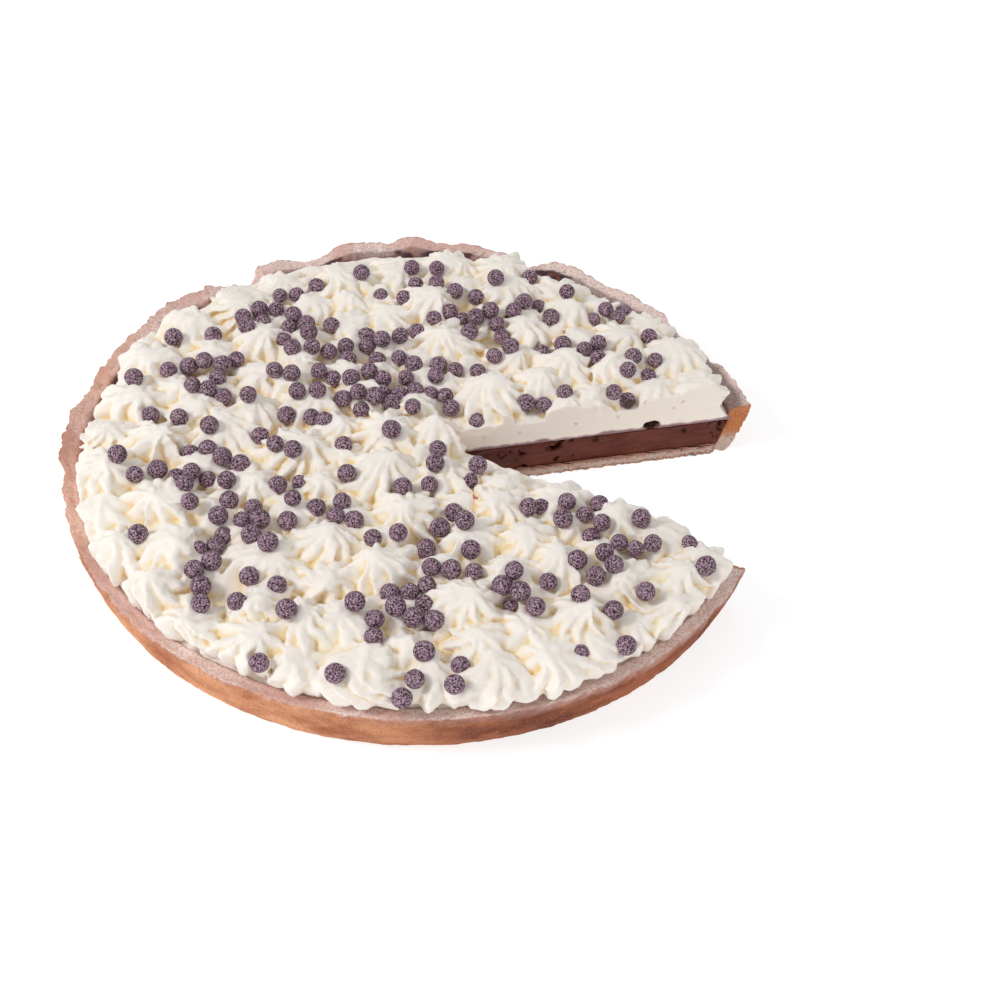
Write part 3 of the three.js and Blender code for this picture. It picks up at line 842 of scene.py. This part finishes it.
def bed_mesh():
    """The cream under the stars: a lumpy sheet that dips along the rim and by the near cut."""
    edge = inner_radius(CREAM_EDGE_TOP) + BED_OVERLAP
    radii = np.linspace(edge, BED_INNERMOST, BED_RINGS)
    radii = np.concatenate(([inner_radius(CREAM_BOTTOM) + BED_OVERLAP], radii))
    angles = np.linspace(0, 2 * math.pi, BED_STEPS, endpoint=False)
    radius, angle = (grid.ravel() for grid in np.meshgrid(radii, angles, indexing="ij"))
    x, y = radius * np.cos(angle), radius * np.sin(angle)
    z = bed_height(radius)
    lumps = noise_at(np.stack((x, y, z), axis=1), BED_LUMP_SIZE, seed=35, octaves=3)
    at_edge = smooth01((radius - edge + BED_EDGE_WIDTH) / BED_EDGE_EASE)
    z = z + (1 - at_edge) * BED_LUMPS * (1.2 * np.abs(lumps) + 0.4)
    far_side = smooth01(0.55 + 1.2 * np.sin(angle - math.radians(15)))
    dip = FAR_SIDE_DIP * far_side + NEAR_SIDE_DIP * (1 - far_side) + RIM_DIP_WANDER * np.abs(lumps)
    z = z - at_edge * dip
    by_near_cut = smooth01(1 - np.abs(past_near_cut(x, y)) / NEAR_CUT_DIP_WIDTH)
    z = z - NEAR_CUT_DIP * by_near_cut * (x > 0)
    z[:BED_STEPS] = CREAM_BOTTOM
    points = np.stack((x, y, np.maximum(z, CREAM_BOTTOM)), axis=1)
    points = np.concatenate((points, [(0, 0, CREAM_BOTTOM), (0, 0, CREAM_TOP)]))
    return points, ring_faces(len(radii), BED_STEPS)


def slice_tool():
    """A wedge that stands for the missing slice."""
    far = SLICE_POINT + WEDGE_LENGTH * flat_direction(SLICE_TO)
    near = SLICE_POINT + WEDGE_LENGTH * flat_direction(SLICE_FROM)
    points = [(*corner, z) for z in WEDGE_HEIGHTS for corner in (SLICE_POINT, near, far)]
    faces = [(2, 1, 0), (3, 4, 5), (0, 1, 4, 3), (1, 2, 5, 4), (2, 0, 3, 5)]
    return new_object("slice_tool", points, faces)


def remove(piece):
    mesh = piece.data
    bpy.data.objects.remove(piece)
    bpy.data.meshes.remove(mesh)


def joined_mesh(parts):
    """Several (points, faces) meshes as one."""
    points, faces, count = [], [], 0
    for part_points, part_faces in parts:
        points.append(np.asarray(part_points, dtype=float))
        faces += [tuple(corner + count for corner in face) for face in part_faces]
        count += len(part_points)
    return np.concatenate(points), faces


def cut_mesh(points, faces, tool):
    """What is left of a mesh when the tool is cut out of it, as (points, faces)."""
    piece = new_object("piece_to_cut", points, faces)
    cut = piece.modifiers.new("slice", "BOOLEAN")
    cut.operation = "DIFFERENCE"
    cut.solver = "MANIFOLD"
    cut.object = tool
    apply_modifiers(piece)
    left = points_of(piece.data), [tuple(face.vertices) for face in piece.data.polygons]
    remove(piece)
    return left


def torn_hole(points):
    """How far each point lies within the hole between cream and chocolate on the far cut."""
    from_point = points[:, :2] - SLICE_POINT
    along = from_point @ flat_direction(SLICE_TO)
    beside = from_point @ INTO_FAR_SIDE
    off = np.square((along - HOLE_ALONG) / HOLE_HALF_LENGTH)
    off = off + np.square((points[:, 2] - HOLE_HEIGHT) / HOLE_HALF_RISE)
    off = off * (1 + 0.4 * noise_at(points, 2.4, seed=38, octaves=1))
    return np.exp(-np.square(off)) * (np.abs(beside) < HOLE_DEPTH + 1)


def cream_relief(points, normals, ridges):
    """Unevenness of the cream: curds, torn ridges, and the knife's drag on the cut faces."""
    above = smooth01((points[:, 2] - CREAM_BOTTOM - 0.8) / 1.0)
    at_cut = at_cut_face(points, within=0.7)
    curds = CURD_DEPTH * noise_at(points, CURD_SIZE, seed=31, octaves=3)
    torn = np.minimum(noise_at(points, TORN_RIDGE_SIZE, seed=33, octaves=2), 0.1)
    torn = TORN_RIDGE_DEPTH * torn * ridges
    drag = DRAG_DEPTH * noise_at(points * (0.25, 0.25, 1), DRAG_SIZE, seed=32, octaves=2)
    nicks = -NICK_DEPTH * pits_at(points, NICK_SPACING, NICK_SIZE, seed=37)
    nicks = nicks * smooth01((points[:, 2] - NICKS_ABOVE) / 2)
    outwards = np.where(at_cut, drag + nicks, curds + torn) * above
    moved = points + normals * outwards[:, None]
    deep = HOLE_DEPTH * torn_hole(points) * at_cut
    moved[:, :2] += deep[:, None] * INTO_FAR_SIDE
    return moved


def make_cream():
    """The cream in one skin; it is cut into sectors once the pearls have settled on it."""
    tool = slice_tool()
    whole, cut = [], []
    for number, star in enumerate(stars_piped()):
        part = star_mesh(star, number)
        if outside_slice(star["x"], star["y"]) > CUT_WITHIN * star["radius"]:
            whole.append(part)
        else:
            cut.append(cut_mesh(*part, tool))
    cut.append(cut_mesh(*bed_mesh(), tool))
    remove(tool)
    cream = new_object("piped_cream_stars", *joined_mesh(whole + cut))
    remesh = cream.modifiers.new("one_skin", "REMESH")
    remesh.mode = "VOXEL"
    remesh.voxel_size = VOXEL * MM
    apply_modifiers(cream)
    points = smooth_points(cream.data, points_of(cream.data), 1)
    move_points(cream.data, points)
    ridges = smooth01(-hollowness(cream.data, 8) / 0.5)
    move_points(cream.data, cream_relief(points, normals_of(cream.data), ridges))
    triangles = 2 * len(cream.data.polygons)
    if triangles > MOST_CREAM_TRIANGLES:
        thin = cream.modifiers.new("fewer_faces", "DECIMATE")
        thin.ratio = MOST_CREAM_TRIANGLES / triangles
        apply_modifiers(cream)
    return cream


def cream_masks(mesh, points, normals):
    """The numbers that the cream's material reads at each vertex."""
    upright = np.abs(normals[:, 2]) < 0.7
    on_cut = (at_cut_face(points, within=0.8) & upright).astype(float)
    hole = smooth01(5.0 * torn_hole(points) - 0.3)
    return {
        "cut_face": smooth_values(mesh, on_cut, 2),
        "hollow": hollowness(mesh, 12),
        "wide_hollow": hollowness(mesh, 100),
        "torn_hole": hole * at_cut_face(points, within=HOLE_DEPTH + 0.7),
    }


def cream_sectors(cream):
    """The cream in sectors of equally many faces, with the masks that its material reads."""
    mesh = cream.data
    points = points_of(mesh)
    normals = normals_of(mesh)
    masks = cream_masks(mesh, points, normals)
    faces = [tuple(face.vertices) for face in mesh.polygons]
    corners = np.array([points[face[0], :2] for face in faces])
    angles = np.arctan2(corners[:, 1], corners[:, 0])
    order = np.argsort(angles % math.tau)
    sectors = []
    for number, chosen in enumerate(np.array_split(order, CREAM_SECTORS)):
        sector_faces = [faces[k] for k in chosen]
        used = np.unique(np.concatenate(sector_faces))
        place = np.full(len(points), -1)
        place[used] = np.arange(len(used))
        local = [tuple(place[list(face)].tolist()) for face in sector_faces]
        sector = new_object("piped_cream_stars_%d" % (number + 1), points[used], local)
        sector.data.shade_smooth()
        sector.data.normals_split_custom_set_from_vertices(normals[used].tolist())
        for name, values in masks.items():
            store_mask(sector.data, name, values[used])
        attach(sector, "root")
        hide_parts("piped_cream")
        sectors.append(sector)
    return sectors


# Pearls

PEARL_COLUMNS = 22
PEARL_ROWS = 14
PEARL_SETTLING_ROUNDS = 30
# Pearls are lifted along the line of sight; this keeps the lift short where the cream is steep.
LEAST_FACING = 0.55
# Share of two pearls' radii that their middles keep apart
PEARLS_APART = 0.96
PEARL_FLATTENING = (0.93, 1.0)
PEARL_LUMP_SIZE, PEARL_LUMPS = 2.0, 0.12
DEEPEST_EXTRA_SINK = 0.8
HIDDEN_PEARL_SINK = 4.2
CUT_PEARL_HEIGHTS = (31.5, 29.0)
CUT_PEARLS_STAND_OUT = 0.4

# Small orange specks on the cream, as (x, y, radius)
ORANGE_SPECKS = ((21, -43, 1.4), (-54, -6, 0.9), (8, 63, 1.0))


def pearl_ball():
    """A ball of radius 1, its rings of points turned by half a step to each other."""
    points = []
    for row in range(1, PEARL_ROWS):
        polar = math.pi * row / PEARL_ROWS
        for k in range(PEARL_COLUMNS):
            angle = 2 * math.pi * (k + 0.5 * (row % 2)) / PEARL_COLUMNS
            points.append((*(math.sin(polar) * flat_direction(angle)), -math.cos(polar)))
    points += [(0, 0, -1), (0, 0, 1)]
    return np.array(points), ring_faces(PEARL_ROWS - 1, PEARL_COLUMNS)


def resting_place(surface, x, y, lift):
    """Where a ball lies that is seen at x and y and stands out of the cream by lift."""
    start = Vector(SIGHT_FROM) * MM
    sight = (Vector((x, y, SIGHT_LEVEL)) * MM - start).normalized()
    place, normal, _, _ = surface.ray_cast(start, sight)
    if place is None:
        place, normal = Vector((*seen_at(x, y, CREAM_TOP), CREAM_TOP)) * MM, Vector((0, 0, 1))
    facing = max(-sight.dot(normal), LEAST_FACING)
    return np.array(place - sight * (lift * MM / facing)) / MM


def settled_pearls(surface):
    """The middle and radius of each pearl, resting on the cream, with none inside another."""
    stream = RandomStream(PEARL_SEED)
    seen = np.array(PEARLS + HIDDEN_PEARLS, dtype=float)
    spread = [1 + stream.between(-PEARL_SIZE_SPREAD, PEARL_SIZE_SPREAD) for _ in seen]
    radii = PEARL_RADIUS * np.array(spread)
    sinks = np.array([PEARL_SINK + DEEPEST_EXTRA_SINK * stream.next() ** 2 for _ in seen])
    sinks[len(PEARLS):] = HIDDEN_PEARL_SINK
    middles = np.zeros((len(seen), 3))
    for _ in range(PEARL_SETTLING_ROUNDS):
        for i, (x, y) in enumerate(seen):
            middles[i] = resting_place(surface, x, y, radii[i] - sinks[i])
        crowded = False
        for i in range(len(seen)):
            gap = middles[i + 1:] - middles[i]
            distance = np.linalg.norm(gap, axis=1)
            wanted = (radii[i + 1:] + radii[i]) * PEARLS_APART
            for j in np.nonzero(distance < wanted)[0]:
                push = 0.5 * (wanted[j] - distance[j])
                direction = gap[j][:2] / max(np.linalg.norm(gap[j][:2]), 0.2)
                seen[i] -= direction * push
                seen[i + 1 + j] += direction * push
                crowded = True
        if not crowded:
            break
    return middles, radii


def knife_cut(points):
    """Points beyond the cut face of the cream move back onto it; also which ones moved."""
    depth = outside_slice(points[:, 0], points[:, 1]) - CUT_PEARLS_STAND_OUT
    beyond = depth < 0
    moved = points.copy()
    moved[beyond, :2] -= INTO_FAR_SIDE * depth[beyond, None]
    return moved, beyond


def surface_of(piece):
    return BVHTree.FromObject(piece, bpy.context.evaluated_depsgraph_get())


def orange_specks(surface):
    """Where three small specks lie on the cream, with their sizes."""
    return [(resting_place(surface, x, y, 0) * MM, size) for x, y, size in ORANGE_SPECKS]


def make_pearls(surface):
    """The pearls on the cream, each turned and flattened a little, and two cut by the knife."""
    middles, radii = settled_pearls(surface)
    cut = [(*seen_at(x, y, z), z) for (x, y), z in zip(CUT_PEARLS, CUT_PEARL_HEIGHTS)]
    middles = np.concatenate((middles, cut))
    radii = np.concatenate((radii, [PEARL_RADIUS] * len(cut)))
    ball, ball_faces = pearl_ball()
    stream = RandomStream(PEARL_SEED + 2)
    parts = []
    for middle, radius in zip(middles, radii):
        turn = Matrix.Rotation(stream.between(0, math.tau), 3, "X")
        turn = turn @ Matrix.Rotation(stream.between(0, math.tau), 3, "Z")
        points = ball @ np.array(turn).T * radius
        points = points * (1, 1, stream.between(*PEARL_FLATTENING))
        parts.append((points + middle, ball_faces))
    points, faces = joined_mesh(parts)
    centres = np.repeat(middles, len(ball), axis=0)
    outwards = (points - centres) / PEARL_RADIUS
    lumps = PEARL_LUMPS * noise_at(points, PEARL_LUMP_SIZE, seed=41, octaves=2)
    points = points + outwards * lumps[:, None]
    first_cut = len(points) - len(cut) * len(ball)
    inside = np.zeros(len(points))
    points[first_cut:], inside[first_cut:] = knife_cut(points[first_cut:])
    pearls = new_object("frosted_pearls", points, faces)
    smooth_shading(pearls.data)
    store_mask(pearls.data, "cut_face", inside)
    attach(pearls, "root")
    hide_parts("piped_cream")
    return pearls


# Materials

def colour(red, green, blue):
    """A colour given as it looks on a screen, from 0 to 255, as Blender's linear values."""
    def linear(value):
        value = value / 255
        return value / 12.92 if value <= 0.04045 else ((value + 0.055) / 1.055) ** 2.4
    return (linear(red), linear(green), linear(blue), 1.0)


class Nodes:
    """A material's or group's node tree, with short calls that add a node and link it.

    Scales of textures are in waves per metre.
    """

    def __init__(self, tree):
        self.tree = tree

    def feed_socket(self, socket, value):
        """Links a node's output to a socket, or sets a plain value on it."""
        if isinstance(value, bpy.types.NodeSocket):
            self.tree.links.new(value, socket)
        else:
            socket.default_value = value

    def feed(self, node, inputs):
        for name, value in inputs.items():
            self.feed_socket(node.inputs[name], value)

    def add(self, kind, inputs=None, **settings):
        node = self.tree.nodes.new(kind)
        for name, value in settings.items():
            setattr(node, name, value)
        self.feed(node, inputs or {})
        return node

    def position(self):
        return self.add("ShaderNodeTexCoord").outputs["Object"]

    def mask(self, name):
        return self.add("ShaderNodeAttribute", attribute_name=name).outputs["Fac"]

    def noise(self, where, scale, detail=3.0, roughness=0.5):
        inputs = {"Vector": where, "Scale": scale, "Detail": detail, "Roughness": roughness}
        return self.add("ShaderNodeTexNoise", inputs).outputs["Fac"]

    def cells(self, where, scale, feature):
        inputs = {"Vector": where, "Scale": scale}
        return self.add("ShaderNodeTexVoronoi", inputs, feature=feature).outputs["Distance"]

    def stretched(self, where, x, y, z):
        inputs = {0: where, 1: (x, y, z)}
        return self.add("ShaderNodeVectorMath", inputs, operation="MULTIPLY").outputs[0]

    def distance(self, where, place):
        inputs = {0: where, 1: place}
        return self.add("ShaderNodeVectorMath", inputs, operation="DISTANCE").outputs["Value"]

    def ramp(self, value, low, high, to_low=0.0, to_high=1.0):
        """Eases from one value to another while the input goes from low to high."""
        inputs = {"Value": value, "From Min": low, "From Max": high}
        inputs.update({"To Min": to_low, "To Max": to_high})
        return self.add("ShaderNodeMapRange", inputs, interpolation_type="SMOOTHSTEP").outputs[0]

    def math(self, operation, first, second):
        return self.add("ShaderNodeMath", {0: first, 1: second}, operation=operation).outputs[0]

    def times(self, first, second):
        return self.math("MULTIPLY", first, second)

    def plus(self, first, second):
        return self.math("ADD", first, second)

    def minus(self, first, second):
        return self.math("SUBTRACT", first, second)

    def mix(self, share, first, second):
        """The first colour where the share is 0, the second where it is 1."""
        node = self.add("ShaderNodeMix", data_type="RGBA")
        for name, value in (("Factor", share), ("A", first), ("B", second)):
            self.feed_socket(next(s for s in node.inputs if s.name == name and s.enabled), value)
        return next(s for s in node.outputs if s.enabled)

    def bump(self, height, strength, depth):
        inputs = {"Height": height, "Strength": strength, "Distance": depth * MM}
        return self.add("ShaderNodeBump", inputs).outputs["Normal"]

    def speckles(self, tree, where, per_metre, amount):
        """The mask and the height that the group of fine speckles gives."""
        inputs = {"Position": where, "Specks per metre": per_metre, "Amount": amount}
        node = self.add("ShaderNodeGroup", inputs, node_tree=tree)
        return node.outputs["Mask"], node.outputs["Height"]


def new_material(name, **shader_values):
    """A material with a Principled shader, whose plain values are set on its own sockets."""
    material = bpy.data.materials.new(name)
    material.use_nodes = True
    nodes = Nodes(material.node_tree)
    shader = material.node_tree.nodes["Principled BSDF"]
    nodes.feed(shader, {name.replace("_", " "): value for name, value in shader_values.items()})
    return material, nodes, shader


def speckle_group():
    """Fine speckles and crumbs: a mask of specks and a height for bump, at a given scale."""
    tree = bpy.data.node_groups.new("fine_speckles", "ShaderNodeTree")
    for name, way, kind in (
        ("Position", "INPUT", "Vector"),
        ("Specks per metre", "INPUT", "Float"),
        ("Amount", "INPUT", "Float"),
        ("Mask", "OUTPUT", "Float"),
        ("Height", "OUTPUT", "Float"),
    ):
        tree.interface.new_socket(name, in_out=way, socket_type="NodeSocket" + kind)
    nodes = Nodes(tree)
    given = nodes.add("NodeGroupInput")
    where, scale, amount = (given.outputs[k] for k in range(3))
    grains = nodes.cells(where, scale, "F1")
    clouds = nodes.noise(where, scale, detail=4.0, roughness=0.65)
    height = nodes.minus(clouds, nodes.times(grains, 0.45))
    threshold = nodes.minus(0.62, nodes.times(amount, 0.5))
    limits = {"From Min": nodes.minus(threshold, 0.06), "From Max": nodes.plus(threshold, 0.06)}
    mask = nodes.add("ShaderNodeMapRange", {"Value": height, **limits}).outputs[0]
    nodes.add("NodeGroupOutput", {"Mask": mask, "Height": height})
    return tree


def cream_material(specks):
    """Ivory cream with warm yellow painted shade in its hollows and creases, with small orange
    specks at the places given.
    """
    material, nodes, shader = new_material(
        "whipped_cream",
        Roughness=0.5,
        IOR=1.42,
        Subsurface_Weight=0.35,
        Subsurface_Radius=(1.0, 0.94, 0.84),
        Subsurface_Scale=1.4 * MM,
        Specular_IOR_Level=0.3,
    )
    where = nodes.position()
    ivory, crease_shade, hollow_shade = colour(254, 244, 235), colour(238, 205, 134), colour(248, 228, 188)
    knife_face, smear, hole_shade = colour(255, 240, 228), colour(136, 94, 104), colour(62, 28, 20)
    orange = colour(206, 92, 44)
    # Painted shade: warm yellow in hollows, most of all in narrow creases
    clouds = nodes.ramp(nodes.noise(where, 90.0), 0.35, 0.75)
    base = nodes.mix(nodes.ramp(nodes.mask("wide_hollow"), -0.3, 1.5), ivory, hollow_shade)
    crease_shading = nodes.ramp(nodes.mask("hollow"), 0.04, 0.6)
    crease_shading = nodes.times(crease_shading, nodes.ramp(clouds, 0.0, 1.0, 0.55, 1.0))
    base = nodes.mix(crease_shading, base, crease_shade)
    # The cut faces, smeared with chocolate along their lower edge
    base = nodes.mix(nodes.times(nodes.mask("cut_face"), 0.9), base, knife_face)
    height = nodes.add("ShaderNodeSeparateXYZ", {"Vector": where}).outputs["Z"]
    wander = nodes.noise(nodes.stretched(where, 1, 1, 0.2), 160.0)
    edge = nodes.plus(height, nodes.times(nodes.minus(wander, 0.5), 3.4 * MM))
    smeared = nodes.ramp(edge, (CREAM_BOTTOM + 2.6) * MM, (CREAM_BOTTOM + 1.0) * MM)
    smeared = nodes.times(smeared, nodes.ramp(nodes.mask("cut_face"), 0.2, 0.7))
    base = nodes.mix(nodes.times(smeared, 0.9), base, smear)
    # Painted shade: the torn hole between cream and chocolate is coloured almost black-brown
    base = nodes.mix(nodes.mask("torn_hole"), base, hole_shade)
    # Specks with uneven edges
    uneven = nodes.times(nodes.noise(where, 700.0, detail=2.0), 1.4 * MM)
    for place, size in specks:
        distance = nodes.plus(nodes.distance(where, place), uneven)
        spot = nodes.ramp(distance, (size + 0.9) * MM, (size + 0.5) * MM)
        base = nodes.mix(nodes.times(spot, 0.85), base, orange)
    fine = nodes.noise(where, 900.0, detail=4.0, roughness=0.6)
    streaks = nodes.noise(nodes.stretched(where, 0.4, 0.4, 1), 500.0)
    surface = nodes.plus(nodes.times(fine, 0.6), nodes.times(streaks, 0.6))
    nodes.feed(shader, {"Base Color": base, "Normal": nodes.bump(surface, 0.4, 0.35)})
    return material


def pearl_material(speckles):
    """Dark chocolate pearls under a net of fine lilac frost; the cut ones are bare inside."""
    material, nodes, shader = new_material(
        "frosted_chocolate_pearls", Roughness=0.6, Specular_IOR_Level=0.35
    )
    where = nodes.position()
    dark, frost, pale = colour(20, 5, 9), colour(152, 108, 132), colour(232, 206, 220)
    inner = colour(62, 36, 30)
    clouds = nodes.noise(where, 900.0, detail=4.0, roughness=0.7)
    lines = nodes.ramp(nodes.cells(where, 900.0, "DISTANCE_TO_EDGE"), 0.15, 0.04)
    lines = nodes.times(lines, nodes.ramp(clouds, 0.3, 0.52))
    dust = nodes.ramp(clouds, 0.42, 0.72)
    flecks, relief = nodes.speckles(speckles, where, 1500.0, 0.6)
    base = nodes.mix(nodes.times(dust, 0.26), dark, frost)
    base = nodes.mix(nodes.times(lines, 0.85), base, frost)
    base = nodes.mix(nodes.times(flecks, 0.55), base, pale)
    inside = nodes.mask("cut_face")
    nodes.feed(shader, {
        "Base Color": nodes.mix(inside, base, inner),
        "Roughness": nodes.ramp(inside, 0.0, 1.0, 0.6, 0.15),
        "Normal": nodes.bump(relief, 0.6, 0.3),
    })
    return material


def chocolate_material(speckles):
    """Set chocolate: half glossy, with painted shade in its cracks and pits, and faint paler clouds.
    """
    material, nodes, shader = new_material("set_chocolate", Roughness=0.36, Specular_IOR_Level=0.16)
    where = nodes.position()
    brown, deep, bloom = colour(92, 38, 24), colour(36, 12, 8), colour(112, 56, 40)
    clouds = nodes.ramp(nodes.noise(nodes.stretched(where, 0.5, 0.5, 1), 140.0), 0.4, 0.8)
    grain, relief = nodes.speckles(speckles, where, 1500.0, 0.25)
    base = nodes.mix(clouds, brown, bloom)
    # Painted shade: the cracks and pits go almost black
    base = nodes.mix(nodes.ramp(nodes.mask("hollow"), 0.02, 0.22), base, deep)
    nodes.feed(shader, {
        "Base Color": nodes.mix(nodes.times(grain, 0.2), base, bloom),
        "Roughness": nodes.ramp(clouds, 0.0, 1.0, 0.28, 0.45),
        "Normal": nodes.bump(relief, 0.3, 0.2),
    })
    return material


def crust_material(speckles):
    """Baked shortcrust: tan to the left, darker brown to the right, partly from the bake and partly
    painted shade; frosted along its rim, with painted highlight added to the frost on the right.
    """
    material, nodes, shader = new_material(
        "baked_shortcrust", Roughness=0.85, Specular_IOR_Level=0.2
    )
    where = nodes.position()
    axes = nodes.add("ShaderNodeSeparateXYZ", {"Vector": where}).outputs
    along, height = axes["X"], axes["Z"]
    tan, baked, dark_bake_and_shade = colour(240, 174, 130), colour(178, 103, 69), colour(114, 60, 41)
    dust, rose, coat = colour(248, 234, 228), colour(226, 184, 174), colour(76, 52, 62)
    cut, toasted, cut_wall = colour(212, 190, 176), colour(168, 92, 52), colour(208, 134, 84)
    # The baked wall, with grains, dark crumbs and scorched spots
    broad = nodes.noise(nodes.stretched(where, 0.7, 0.7, 1.3), 60.0, detail=6.0, roughness=0.62)
    broad = nodes.ramp(broad, 0.34, 0.7)
    # Bake and painted shade: the wall darkens towards the right, away from the key light
    browner_and_shaded = nodes.ramp(along, -0.05, 0.05)
    base = nodes.mix(browner_and_shaded, nodes.mix(broad, tan, baked), nodes.mix(broad, baked, dark_bake_and_shade))
    grains, coarse_relief = nodes.speckles(speckles, where, 800.0, 0.35)
    _, fine_relief = nodes.speckles(speckles, where, 2400.0, 0.55)
    base = nodes.mix(nodes.times(grains, 0.25), base, rose)
    crumbs = nodes.ramp(nodes.noise(where, 1300.0, roughness=0.7), 0.5, 0.62)
    base = nodes.mix(nodes.times(crumbs, 0.35), base, dark_bake_and_shade)
    scorch = nodes.noise(nodes.stretched(where, 0.6, 0.6, 1.6), 200.0, detail=5.0, roughness=0.65)
    base = nodes.mix(nodes.times(nodes.ramp(scorch, 0.58, 0.74), 0.4), base, dark_bake_and_shade)
    # The wall's frosted upper edge
    drift = nodes.times(nodes.noise(where, 90.0, detail=4.0, roughness=0.6), 9 * MM)
    shoulder = nodes.ramp(nodes.plus(height, drift), 0.0195, 0.0265)
    shoulder = nodes.times(shoulder, nodes.ramp(along, -0.03, 0.05, 0.12, 0.6))
    base = nodes.mix(shoulder, base, rose)
    # The top of the rim: rose, with frost in patches, and bare gritty spots; towards the right the
    # frost is at its fullest, partly real frost and partly painted highlight
    at_left = nodes.ramp(along, -0.105, -0.128)
    rim_top = nodes.times(nodes.mask("rim_top"), nodes.ramp(at_left, 0, 1, 1.0, 0.45))
    base = nodes.mix(nodes.times(rim_top, 0.9), base, rose)
    frost_and_highlight = nodes.ramp(nodes.noise(where, 30.0, detail=4.0), 0.38, 0.62)
    # Frost and painted highlight: the rim's right side is whiter
    frost_and_highlight = nodes.math("MAXIMUM", frost_and_highlight, nodes.ramp(along, 0.02, 0.08))
    frosted = nodes.times(rim_top, nodes.ramp(frost_and_highlight, 0, 1, 0.2, 0.9))
    covered = nodes.ramp(nodes.noise(where, 1100.0, detail=4.0, roughness=0.7), 0.7, 0.4)
    base = nodes.mix(nodes.times(frosted, covered), base, dust)
    gritty = nodes.times(rim_top, nodes.minus(1.0, covered))
    base = nodes.mix(nodes.times(gritty, 0.25), base, baked)
    # The dark coat of the inner wall, and the cut faces
    patches = nodes.ramp(nodes.noise(where, 38.0), 0.5, 0.58)
    coated = nodes.times(nodes.mask("inner_wall"), nodes.ramp(patches, 0, 1, 0.55, 1.0))
    base = nodes.mix(coated, base, coat)
    cut_tone = nodes.mix(nodes.ramp(height, 0.006, 0.011), cut, cut_wall)
    cut_tone = nodes.mix(nodes.times(crumbs, 0.35), cut_tone, dark_bake_and_shade)
    base = nodes.mix(nodes.times(nodes.mask("cut_face"), 0.9), base, cut_tone)
    # Ridges toasted; painted shade darkens the hollows
    hollow = nodes.mask("hollow")
    base = nodes.mix(nodes.times(nodes.ramp(hollow, -0.12, -0.6), 0.6), base, toasted)
    base = nodes.mix(nodes.ramp(hollow, 0.1, 0.6, 0, 0.6), base, dark_bake_and_shade)
    relief = nodes.plus(coarse_relief, nodes.times(fine_relief, 0.5))
    nodes.feed(shader, {"Base Color": base, "Normal": nodes.bump(relief, 0.7, 0.5)})
    return material


def dress(piece, material):
    piece.data.materials.clear()
    piece.data.materials.append(material)


# Studio

CAMERA_TARGET = (32.9, -8.7, 0.0)
CAMERA_ROLL = math.radians(4.16)
CAMERA_LENS = 53.0
SENSOR = 36.0
# The floor and the lights are in metres and watts.
FLOOR_HALF_SIZE = 8.0
FLOOR_GREY = (0.4, 0.4, 0.4, 1)
FLOOR_GLOW = 0.75
SKY_STRENGTH = 0.57
WHITE = (1, 1, 1, 1)
# Lights, as (name, place, size, watts)
LIGHTS = (
    ("key", (-0.95, -0.3, 0.95), 0.35, 7.2),
    ("fill", (0.5, -1.1, 0.7), 1.2, 1.6),
)


def make_camera():
    data = bpy.data.cameras.new("camera")
    data.lens = CAMERA_LENS
    data.sensor_width = SENSOR
    camera = bpy.data.objects.new("camera", data)
    bpy.context.scene.collection.objects.link(camera)
    place, target = Vector(SIGHT_FROM) * MM, Vector(CAMERA_TARGET) * MM
    back = (place - target).normalized()
    right = Vector((0, 0, 1)).cross(back).normalized()
    up = back.cross(right)
    rolled_right = right * math.cos(CAMERA_ROLL) + up * math.sin(CAMERA_ROLL)
    rolled_up = up * math.cos(CAMERA_ROLL) - right * math.sin(CAMERA_ROLL)
    turn = Matrix((rolled_right, rolled_up, back)).transposed()
    camera.matrix_world = Matrix.Translation(place) @ turn.to_4x4()
    bpy.context.scene.camera = camera


def make_floor():
    side = FLOOR_HALF_SIZE / MM
    points = [(x * side, y * side, 0) for x, y in ((-1, -1), (1, -1), (1, 1), (-1, 1))]
    floor = new_object("studio_floor", points, [(0, 1, 2, 3)])
    material, nodes, shader = new_material("studio_floor", Roughness=0.9, Specular_IOR_Level=0.0)
    nodes.feed(shader, {
        "Base Color": FLOOR_GREY,
        "Emission Color": WHITE,
        "Emission Strength": FLOOR_GLOW,
    })
    dress(floor, material)


def soft_light(name, place, size, watts):
    data = bpy.data.lights.new(name, "AREA")
    data.shape = "DISK"
    data.size = size
    data.energy = watts
    light = bpy.data.objects.new(name, data)
    bpy.context.scene.collection.objects.link(light)
    light.location = place
    light.rotation_mode = "QUATERNION"
    light.rotation_quaternion = Vector(place).to_track_quat("Z", "Y")


def make_studio():
    world = bpy.data.worlds.new("studio")
    world.use_nodes = True
    background = world.node_tree.nodes["Background"]
    background.inputs["Color"].default_value = WHITE
    background.inputs["Strength"].default_value = SKY_STRENGTH
    bpy.context.scene.world = world
    for light in LIGHTS:
        soft_light(*light)
    bpy.context.scene.view_settings.view_transform = "Standard"
    bpy.context.scene.view_settings.look = "None"


make_camera()
make_floor()
make_studio()

speckles = speckle_group()
crust = make_crust()
chocolate = make_chocolate()
cream = make_cream()
surface = surface_of(cream)
pearls = make_pearls(surface)
whipped_cream = cream_material(orange_specks(surface))
sectors = cream_sectors(cream)
remove(cream)
dress(crust, crust_material(speckles))
dress(chocolate, chocolate_material(speckles))
dress(pearls, pearl_material(speckles))
for sector in sectors:
    dress(sector, whipped_cream)
